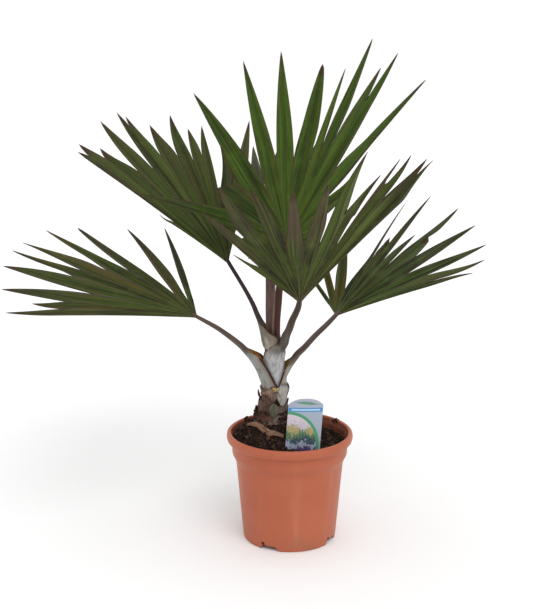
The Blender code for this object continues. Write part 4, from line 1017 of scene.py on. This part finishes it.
def leaf_finish(name, leaf, upper):
    """Leaf skin: fine long veins, dark streaks and darker folds painted as the shade of the pleats, a reddish
    margin and browned tips; the under side is duller and turns from green to a mauve brown towards the tips."""
    material, tree, shader = new_finish(name, 0.55 if upper else 0.65, Specular_IOR_Level=0.14)
    vein = add(tree, "ShaderNodeUVMap", uv_map="vein").outputs["UV"]
    reach = add(tree, "ShaderNodeUVMap", uv_map="reach").outputs["UV"]
    parts = add(tree, "ShaderNodeSeparateXYZ", {0: reach})
    margin, along = parts.outputs["X"], parts.outputs["Y"]
    tone = add(tree, "ShaderNodeAttribute", attribute_name="tone").outputs["Fac"]
    strands = grain(tree, vein, 1.0, 3, stretch=(1400, 9, 1))
    broad = grain(tree, vein, 1.0, 2, stretch=(260, 5, 1))
    patches = grain(tree, object_place(tree), 30, 3)
    mid, light = (leaf["upper"], leaf["light"]) if upper else (leaf["under"], leaf["pale"])
    # Long dark streaks along the leaflets, down to 0.40 of the mid colour: painted shade of the pleats.
    tint = blend(tree, window(tree, broad, 0.40, 0.62), paint(*mid), paint(*[c * 0.40 for c in mid]))
    tint = blend(tree, sums(tree, "MULTIPLY", window(tree, tone, 0.35, 1.0), 0.70), tint, paint(*light))
    tint = blend(tree, sums(tree, "MULTIPLY", window(tree, tone, 0.45, 0.0), 0.40), tint,
                 paint(*[c * 0.52 for c in mid]))
    tint = blend(tree, sums(tree, "MULTIPLY", window(tree, patches, 0.45, 0.75), 0.45), tint, paint(*light))
    tint = blend(tree, sums(tree, "MULTIPLY", window(tree, strands, 0.52, 0.66), 0.66), tint,
                 paint(*[c * 1.20 for c in light]))
    bands = grain(tree, vein, 1.0, 2, stretch=(70, 4, 1))
    tint = blend(tree, sums(tree, "MULTIPLY", window(tree, bands, 0.47, 0.62), leaf["tan"]), tint, paint(76, 66, 26))
    flush = add(tree, "ShaderNodeAttribute", attribute_name="flush").outputs["Fac"]
    outer = sums(tree, "ADD", along, sums(tree, "MULTIPLY", sums(tree, "SUBTRACT", broad, 0.5), 0.9))
    ruddy = sums(tree, "MULTIPLY", window(tree, outer, 0.40, 0.80), sums(tree, "MAXIMUM", flush, 0.0))
    tint = blend(tree, sums(tree, "MULTIPLY", ruddy, 0.55 if upper else 0.95), tint, paint(*leaf["mauve"]))
    scorch = sums(tree, "MULTIPLY", window(tree, outer, 0.55, 0.85), sums(tree, "MULTIPLY", sums(tree, "MINIMUM", flush, 0.0), -0.9))
    tint = blend(tree, scorch, tint, paint(50, 36, 30))
    # Darker bands along the midrib and along the seams at the leaflet edges: painted shade in the creases of the fold.
    fold = sums(tree, "MAXIMUM", window(tree, margin, 0.13, 0.02), window(tree, margin, 0.90, 0.98))
    tint = blend(tree, sums(tree, "MULTIPLY", fold, 0.55), tint, paint(52, 42, 26) if upper else paint(60, 50, 36))
    specks = grain(tree, vein, 1.0, 2, stretch=(900, 160, 1))
    tint = blend(tree, sums(tree, "MULTIPLY", window(tree, specks, 0.60, 0.68), 0.45), tint, paint(58, 36, 24))
    worn = add(tree, "ShaderNodeMapRange", {"Value": grain(tree, vein, 1.0, 2, stretch=(20, 24, 1)), "To Min": 0.84,
                                            "To Max": 0.99})
    edge = window(tree, sums(tree, "SUBTRACT", margin, worn.outputs["Result"]), -0.03, 0.04)
    tint = blend(tree, sums(tree, "MULTIPLY", edge, 0.60), tint, paint(72, 42, 34))
    tip = window(tree, sums(tree, "ADD", along, sums(tree, "MULTIPLY", tone, 0.05)), 0.92, 1.0)
    tint = blend(tree, sums(tree, "MULTIPLY", tip, 0.85), tint, paint(64, 46, 32))
    tree.links.new(tint, shader.inputs["Base Color"])
    shine = add(tree, "ShaderNodeMapRange", {"Value": strands, "To Min": 0.48 if upper else 0.6,
                                             "To Max": 0.66 if upper else 0.75})
    tree.links.new(shine.outputs["Result"], shader.inputs["Roughness"])
    first = relief(tree, shader, strands, 0.00018)
    relief(tree, shader, broad, 0.00025, first)
    return material


def build_frond(name, leaf, seed):
    rng = random.Random(seed)
    data = bmesh.new()
    vein = data.loops.layers.uv.new("vein")
    reach_place = data.loops.layers.uv.new("reach")
    tone = data.faces.layers.float.new("tone")
    flush = data.faces.layers.float.new("flush")
    seams = seams_of(leaf)
    shared = []
    for angle, reach, notch in seams:
        count = max(2, round((notch - BLADE_START) / STATION))
        shared.append([data.verts.new(blade_point(leaf, angle, BLADE_START + STATION * k, reach))
                       for k in range(count + 1)])
    ribs = []
    for i, (angle, reach) in enumerate(zip(leaf["rays"], leaf["reach"])):
        own_tone = leaf["tones"].get(i, rng.random())
        before, after, blunt, bend = leaf["form"].get(i, (1.0, 1.0, 0.72, 0.0))
        twist = math.radians(rng.uniform(-7, 7))
        bow = rng.uniform(-0.002, 0.002) + bend
        droop = rng.uniform(-0.002, 0.005)
        normal = blade_normal(leaf, angle)
        ray = ray_direction(leaf, angle)
        side = normal.cross(ray).normalized()
        edges = (shared[i], shared[i + 1])
        ends = [len(edge) - 1 for edge in edges]
        notch = BLADE_START + STATION * min(ends)
        count = int((reach - 0.004 - BLADE_START) / STATION) + 1
        radii = [BLADE_START + STATION * k for k in range(count)] + [reach]
        offsets = []
        for edge, end in zip(edges, ends):
            radius = BLADE_START + STATION * end
            offsets.append((radius, edge[-1].co - blade_point(leaf, angle, radius, reach)))
        rows = []
        rib = []
        for k, radius in enumerate(radii):
            share = max(0.0, (radius - notch) / (reach - notch))
            sway = side * (bow * math.sin(math.pi * share) * share) - Vector((0, 0, droop * share * math.sin(math.pi * share)))
            axis = blade_point(leaf, angle, radius, reach) + sway
            turn = Matrix.Rotation(twist * smooth_step(share), 3, ray)
            corners = []
            for edge, end, (start, offset), wide in zip(edges, ends, offsets, (before, after)):
                if k <= end:
                    corners.append(edge[k].co - axis)
                else:
                    s = (radius - start) / (reach - start)
                    swell = (1 - s) ** blunt * (1 + 0.95 * s * (1 - s)) * (1 + (wide - 1) * smooth_step(s, 0.0, 0.4))
                    corners.append(turn @ (offset * swell))
            half_width = (corners[1] - corners[0]).length / 2
            depth = PLEAT * half_width * smooth_step(radius, 0.0, 0.04)
            down = -(turn @ normal) * depth
            row = []
            for f in ACROSS:
                corner = corners[0] if f < 0 else corners[1]
                arch = 0.10 * half_width * math.sin(math.pi * abs(f))
                point = axis + corner * abs(f) + down * (1 - abs(f)) + (turn @ normal) * arch
                if abs(f) == 1.0 and k <= ends[0 if f < 0 else 1]:
                    row.append(edges[0 if f < 0 else 1][k])
                elif k == len(radii) - 1:
                    row.append(None)
                else:
                    row.append(data.verts.new(point))
            if k == len(radii) - 1:
                tip = data.verts.new(axis)
                row = [tip] * len(ACROSS)
            rows.append(row)
            rib.append((axis + down, half_width))
        for k, (near, far) in enumerate(zip(rows, rows[1:])):
            for j in range(len(ACROSS) - 1):
                corners = [near[j], near[j + 1], far[j + 1], far[j]]
                places = [(j, k), (j + 1, k), (j + 1, k + 1), (j, k + 1)]
                if corners[2] is corners[3]:
                    corners, places = corners[:3], places[:3]
                face = data.faces.new(corners)
                face[tone] = own_tone
                face[flush] = leaf["flush"][i]
                for loop, (column, row) in zip(face.loops, places):
                    across = ACROSS[column] * rib[row][1]
                    loop[vein].uv = (across + 0.1 * i, radii[row])
                    loop[reach_place].uv = (abs(ACROSS[column]), radii[row] / reach)
        ribs.append((rib, -normal, side))
    for edge in data.edges:
        edge.smooth = True
    for line in shared:
        for a, b in zip(line, line[1:]):
            found = data.edges.get((a, b))
            if found:
                found.smooth = False
    data.normal_update()
    if sum((f.normal.dot(leaf_axes(leaf)[2]) for f in data.faces)) < 0:
        bmesh.ops.reverse_faces(data, faces=data.faces)
    for face in data.faces:
        face.smooth = True
    upper = leaf_finish("leaf_upper_" + name, leaf, True)
    under = leaf_finish("leaf_under_" + name, leaf, False)
    piece = new_piece("leaflets_" + name, data, upper, under)
    thick = piece.modifiers.new("lamina", "SOLIDIFY")
    thick.thickness = LAMINA
    thick.offset = -1.0
    thick.use_even_offset = False
    thick.material_offset = 1
    thick.material_offset_rim = 0
    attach(piece, "root")
    return piece, ribs


rib_finish, tree, shader = new_finish("leaf_rib", 0.6, Specular_IOR_Level=0.14)
place = object_place(tree)
tint = steps(tree, grain(tree, place, 60, 3), (0.3, paint(66, 66, 38)), (0.7, paint(88, 80, 52)))
tree.links.new(tint, shader.inputs["Base Color"])
relief(tree, shader, grain(tree, place, 1500, 2), 0.00008)


def build_ribs(name, ribs):
    """One raised rib along the underside of each leaflet's fold."""
    data = bmesh.new()
    for line, down, side in ribs:
        rings = []
        for k, (point, half_width) in enumerate(line):
            share = k / (len(line) - 1)
            radius = RIB_ROOT + (RIB_TIP - RIB_ROOT) * share ** 0.7
            centre = point + down * (LAMINA + radius * 0.35)
            ring = []
            for i in range(6):
                turn = math.tau * (i + 0.5) / 6
                ring.append(data.verts.new(centre + side * (radius * math.cos(turn)) + down * (radius * math.sin(turn))))
            rings.append(ring)
        join_rings(data, rings)
        data.faces.new(list(reversed(rings[0])))
        data.faces.new(rings[-1])
    bmesh.ops.recalc_face_normals(data, faces=data.faces)
    piece = new_piece("ribs_" + name, data, rib_finish, sharp=80)
    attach(piece, "root")
    return piece


for number, (name, leaf) in enumerate(LEAVES.items()):
    leaflets, ribs = build_frond(name, leaf, 21 + number)
    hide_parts("frond_" + name)
    build_ribs(name, ribs)


# The spear: the youngest leaf, still folded shut like a fan, standing upright between the stalks.
SPEAR_FOOT = Vector((-0.0262, -0.0020, 0.2903))
SPEAR_TIP = Vector((-0.0222, 0.0030, 0.4300))
SPEAR_RADIUS = 0.0030
SPEAR_FOLDS = 7

spear_data = bmesh.new()
folds = spear_data.verts.layers.float.new("fold")
rings = []
for k in range(40):
    t = k / 39
    centre = SPEAR_FOOT.lerp(SPEAR_TIP, t) + Vector((0.0008 * math.sin(3 * t), 0, 0))
    wide = SPEAR_RADIUS * (1 - t) ** 0.55 * (0.75 + 0.5 * math.sin(math.pi * min(1.0, t * 1.4 + 0.15)))
    ring = []
    for i in range(SPEAR_FOLDS * 4):
        turn = math.tau * i / (SPEAR_FOLDS * 4)
        ridge = (i % 4) in (0,)
        radius = max(0.00015, wide * (1.0 if ridge else 0.80 if i % 4 == 2 else 0.9))
        spot = Vector((math.cos(turn + 1.6 * t) * radius * 0.8, math.sin(turn + 1.6 * t) * radius, 0))
        vertex = spear_data.verts.new(centre + spot)
        vertex[folds] = 1.0 if ridge else 0.0
        ring.append(vertex)
    rings.append(ring)
join_rings(spear_data, rings)
spear_data.faces.new(list(reversed(rings[0])))
spear_data.faces.new(rings[-1])
bmesh.ops.recalc_face_normals(spear_data, faces=spear_data.faces)
spear_skin, tree, shader = new_finish("spear_skin", 0.55, Specular_IOR_Level=0.20)
fold = add(tree, "ShaderNodeAttribute", attribute_name="fold").outputs["Fac"]
streak = grain(tree, object_place(tree), 300, 3, stretch=(1, 1, 0.04))
tint = blend(tree, window(tree, streak, 0.4, 0.65), paint(84, 62, 56), paint(112, 90, 80))
tint = blend(tree, sums(tree, "MULTIPLY", window(tree, fold, 0.6, 1.0), 0.8), tint, paint(138, 118, 106))
tree.links.new(tint, shader.inputs["Base Color"])
relief(tree, shader, streak, 0.0002)
spear = new_piece("folded_spear", spear_data, spear_skin, sharp=30)
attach(spear, "root")
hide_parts("spear_leaf")


# The husk: a dry split piece of old sheath that lies bent on the compost in front of the stem.
HUSK_LINE = ((-0.0640, -0.0060), (-0.0500, -0.0205), (-0.0345, -0.0365), (-0.0225, -0.0385), (-0.0095, -0.0402))
HUSK_HALF_WIDTH = 0.0033
HUSK_WALL = 0.0009

husk_data = bmesh.new()
husk_uv = husk_data.loops.layers.uv.new("plate")
husk_tone = husk_data.faces.layers.float.new("tone")
line = through([(x, y, 0.0) for x, y in HUSK_LINE], 36)
outer, inner = [], []
for k, spot in enumerate(line):
    t = k / 35
    way = (line[min(k + 1, 35)] - line[max(k - 1, 0)]).normalized()
    across = Vector((-way.y, way.x, 0))
    wide = HUSK_HALF_WIDTH * (0.35 + 0.65 * math.sin(math.pi * (0.08 + 0.84 * t))) * (1 + 0.25 * noise.noise(spot * 180))
    for rows, depth in ((outer, 0.0), (inner, HUSK_WALL)):
        row = []
        for i in range(9):
            f = -1 + i / 4
            point = spot + across * (wide * f)
            ground = soil_height(point.x, point.y) + 0.0034
            arch = 0.0016 * (1 - f * f)
            crack = 0.0005 * noise.noise(Vector((f * 3, t * 9, 1.0)))
            row.append(Vector((point.x, point.y, ground + arch + crack - depth)))
        rows.append(row)
add_shell(husk_data, outer, inner, husk_tone, 0.0, husk_uv)
bmesh.ops.recalc_face_normals(husk_data, faces=husk_data.faces)
husk_skin, tree, shader = new_finish("dry_husk_skin", 0.8, Specular_IOR_Level=0.20)
plate = add(tree, "ShaderNodeUVMap", uv_map="plate").outputs["UV"]
streak = grain(tree, plate, 1.0, 4, stretch=(14, 3, 1))
blotch = grain(tree, object_place(tree), 130, 4)
tint = steps(tree, streak, (0.30, paint(74, 48, 36)), (0.52, paint(124, 92, 72)), (0.72, paint(158, 130, 108)))
tint = blend(tree, window(tree, blotch, 0.50, 0.68), tint, paint(60, 38, 29))
tree.links.new(tint, shader.inputs["Base Color"])
relief(tree, shader, streak, 0.0005)
husk = new_piece("split_husk", husk_data, husk_skin, sharp=50)
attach(husk, "root")
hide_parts("dry_husk")


# The care label: a thin printed plastic plate with an arched top, pushed into the compost inside the
# rim. The print is generic: a blue band with a pale bar, a green arc, and rows of soft coloured hills.
LABEL_X, LABEL_Y = 0.0172, -0.0570
LABEL_WIDTH = 0.0510
LABEL_FOOT = 0.1500
LABEL_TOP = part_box("care_label")[1][2]
LABEL_SHOULDER = LABEL_TOP - 0.0090
LABEL_THICKNESS = 0.0007
LABEL_LEAN = 0.006


def label_point(across, up, depth):
    """A point on the plate from its share of the half width, its height and its depth."""
    top = LABEL_SHOULDER + (LABEL_TOP - LABEL_SHOULDER) * (1 - abs(across) ** 2.6)
    z = LABEL_FOOT + (top - LABEL_FOOT) * up
    lean = LABEL_LEAN * (z - LABEL_FOOT) / (LABEL_TOP - LABEL_FOOT)
    bend = 0.0016 * across * across
    return Vector((LABEL_X + across * LABEL_WIDTH / 2 + lean, LABEL_Y + depth + lean + bend, z))


label_data = bmesh.new()
print_place = label_data.loops.layers.uv.new("print")
sheets = []
for depth in (-LABEL_THICKNESS / 2, LABEL_THICKNESS / 2):
    sheets.append([[label_data.verts.new(label_point(-1 + 2 * i / 24, k / 30, depth)) for i in range(25)]
                   for k in range(31)])
for side, sheet in enumerate(sheets):
    for k in range(30):
        for i in range(24):
            corners = [(i, k), (i + 1, k), (i + 1, k + 1), (i, k + 1)]
            if side == 1:
                corners.reverse()
            face = label_data.faces.new([sheet[row][column] for column, row in corners])
            face.material_index = side
            for loop, (column, row) in zip(face.loops, corners):
                height = (sheet[row][column].co.z - LABEL_FOOT) / (LABEL_TOP - LABEL_FOOT)
                loop[print_place].uv = (column / 24, height)
border = [(i, 0) for i in range(24)] + [(24, k) for k in range(30)]
border += [(i, 30) for i in range(24, 0, -1)] + [(0, k) for k in range(30, 0, -1)]
for (i, k), (j, m) in zip(border, border[1:] + border[:1]):
    face = label_data.faces.new((sheets[0][k][i], sheets[1][k][i], sheets[1][m][j], sheets[0][m][j]))
    face.material_index = 1

label_print, tree, shader = new_finish("label_print", 0.35, Specular_IOR_Level=0.25)
spot = add(tree, "ShaderNodeUVMap", uv_map="print").outputs["UV"]
parts = add(tree, "ShaderNodeSeparateXYZ", {0: spot})
u, v = parts.outputs["X"], parts.outputs["Y"]


def band(value, low, high, soft=0.008):
    """1 where the value lies between low and high."""
    return sums(tree, "MULTIPLY", window(tree, value, low - soft, low + soft), window(tree, value, high + soft, high - soft))


def ring_distance(centre_u, centre_v, tall):
    across = sums(tree, "SUBTRACT", u, centre_u)
    up = sums(tree, "MULTIPLY", sums(tree, "SUBTRACT", v, centre_v), tall)
    return sums(tree, "SQRT", sums(tree, "ADD", sums(tree, "MULTIPLY", across, across), sums(tree, "MULTIPLY", up, up)))


tufts = sums(tree, "SUBTRACT", grain(tree, spot, 15, 5, stretch=(1.0, 0.8, 1.0), roughness=0.7), 0.5)


def hill(height, swing, turns, shift):
    """How far v lies under a wavy line that tufts break up."""
    wave = sums(tree, "SINE", sums(tree, "ADD", sums(tree, "MULTIPLY", u, turns), shift))
    line = sums(tree, "ADD", sums(tree, "MULTIPLY", wave, swing), height)
    line = sums(tree, "ADD", line, sums(tree, "MULTIPLY", tufts, 0.42))
    return window(tree, sums(tree, "SUBTRACT", line, v), -0.020, 0.020)


tint = steps(tree, v, (0.0, paint(150, 161, 176)), (0.80, paint(153, 164, 178)), (1.0, paint(160, 164, 180)))
swoosh = sums(tree, "SUBTRACT", v, sums(tree, "MULTIPLY", u, -0.055))
thick = sums(tree, "MULTIPLY", window(tree, u, 0.15, 0.50), window(tree, u, 0.88, 0.60))
above = window(tree, sums(tree, "SUBTRACT", swoosh, sums(tree, "MULTIPLY", thick, 0.030)), 0.949, 0.943)
crescent = sums(tree, "MULTIPLY", above, window(tree, sums(tree, "ADD", swoosh, sums(tree, "MULTIPLY", thick, 0.016)), 0.937, 0.943))
crescent = sums(tree, "MULTIPLY", crescent, sums(tree, "MULTIPLY", window(tree, u, 0.13, 0.18), window(tree, u, 0.90, 0.84)))
tint = blend(tree, crescent, tint, paint(94, 138, 112))
bar = sums(tree, "MULTIPLY", band(v, 0.765, 0.835), band(u, 0.01, 0.99, 0.01))
tint = blend(tree, bar, tint, paint(66, 126, 186))
pale_bar = sums(tree, "MULTIPLY", band(v, 0.785, 0.815), band(u, 0.10, 0.92, 0.02))
tint = blend(tree, pale_bar, tint, paint(166, 200, 220))
away = ring_distance(0.03, 0.15, 1.50)
picture = window(tree, away, 0.86, 0.84)
scene_tint = steps(tree, v, (0.30, paint(172, 168, 176)), (0.66, paint(198, 188, 198)))
scene_tint = blend(tree, hill(0.48, 0.050, 9.0, 0.5), scene_tint, paint(164, 152, 108))
scene_tint = blend(tree, hill(0.39, 0.045, 12.0, 2.2), scene_tint, paint(90, 120, 88))
scene_tint = blend(tree, hill(0.30, 0.040, 8.0, 4.0), scene_tint, paint(64, 84, 92))
scene_tint = blend(tree, hill(0.20, 0.035, 14.0, 1.0), scene_tint, paint(158, 166, 186))
scene_tint = blend(tree, hill(0.12, 0.030, 10.0, 3.0), scene_tint, paint(84, 66, 104))
mottle = grain(tree, spot, 24, 4)
scene_tint = blend(tree, window(tree, mottle, 0.50, 0.70), scene_tint, paint(90, 104, 86), "SOFT_LIGHT")
tint = blend(tree, picture, tint, scene_tint)
arc = band(away, 0.845, 0.925, 0.008)
tint = blend(tree, arc, tint, paint(74, 142, 105))
tree.links.new(tint, shader.inputs["Base Color"])
relief(tree, shader, grain(tree, object_place(tree), 300, 2), 0.00005)
label_back, tree, shader = new_finish("label_back", 0.40)
tint = steps(tree, grain(tree, object_place(tree), 120, 3), (0.3, paint(206, 206, 208)), (0.7, paint(220, 220, 222)))
tree.links.new(tint, shader.inputs["Base Color"])

label = new_piece("care_label_plate", label_data, label_print, label_back, sharp=40)
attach(label, "root")
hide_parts("care_label")


# The floor, the light and the camera at the photograph's place.
floor_data = bmesh.new()
bmesh.ops.create_grid(floor_data, x_segments=2, y_segments=2, size=6.0)
bmesh.ops.translate(floor_data, verts=floor_data.verts, vec=(0, 0, -0.0004))
floor_finish, tree, shader = new_finish("studio_floor", 0.9)
shader.inputs["Base Color"].default_value = (0.9, 0.9, 0.9, 1)
floor = new_piece("studio_floor", floor_data, floor_finish)

world = bpy.data.worlds.new("studio")
bpy.context.scene.world = world
world.use_nodes = True
world.node_tree.nodes["Background"].inputs["Color"].default_value = (1.0, 1.0, 1.0, 1.0)
world.node_tree.nodes["Background"].inputs["Strength"].default_value = 1.0
bpy.context.scene.view_settings.view_transform = "Standard"


sun = bpy.data.lights.new("soft_sun", "SUN")
sun.energy = 0.9
sun.angle = math.radians(35)
sun_object = bpy.data.objects.new("soft_sun", sun)
sun_object.rotation_euler = Vector((-0.35, 0.75, -1.0)).to_track_quat("-Z", "Y").to_euler()
bpy.context.scene.collection.objects.link(sun_object)

camera = bpy.data.cameras.new("photo_camera")
camera.sensor_fit = "VERTICAL"
camera.sensor_height = 36.0
camera.lens = 1238.0 * 36.0 / 609.0
camera_object = bpy.data.objects.new("photo_camera", camera)
camera_object.location = (-0.035, -1.770, 0.790)
camera_object.rotation_euler = (math.radians(90 - 13.6), 0, 0)
bpy.context.scene.collection.objects.link(camera_object)
bpy.context.scene.camera = camera_object
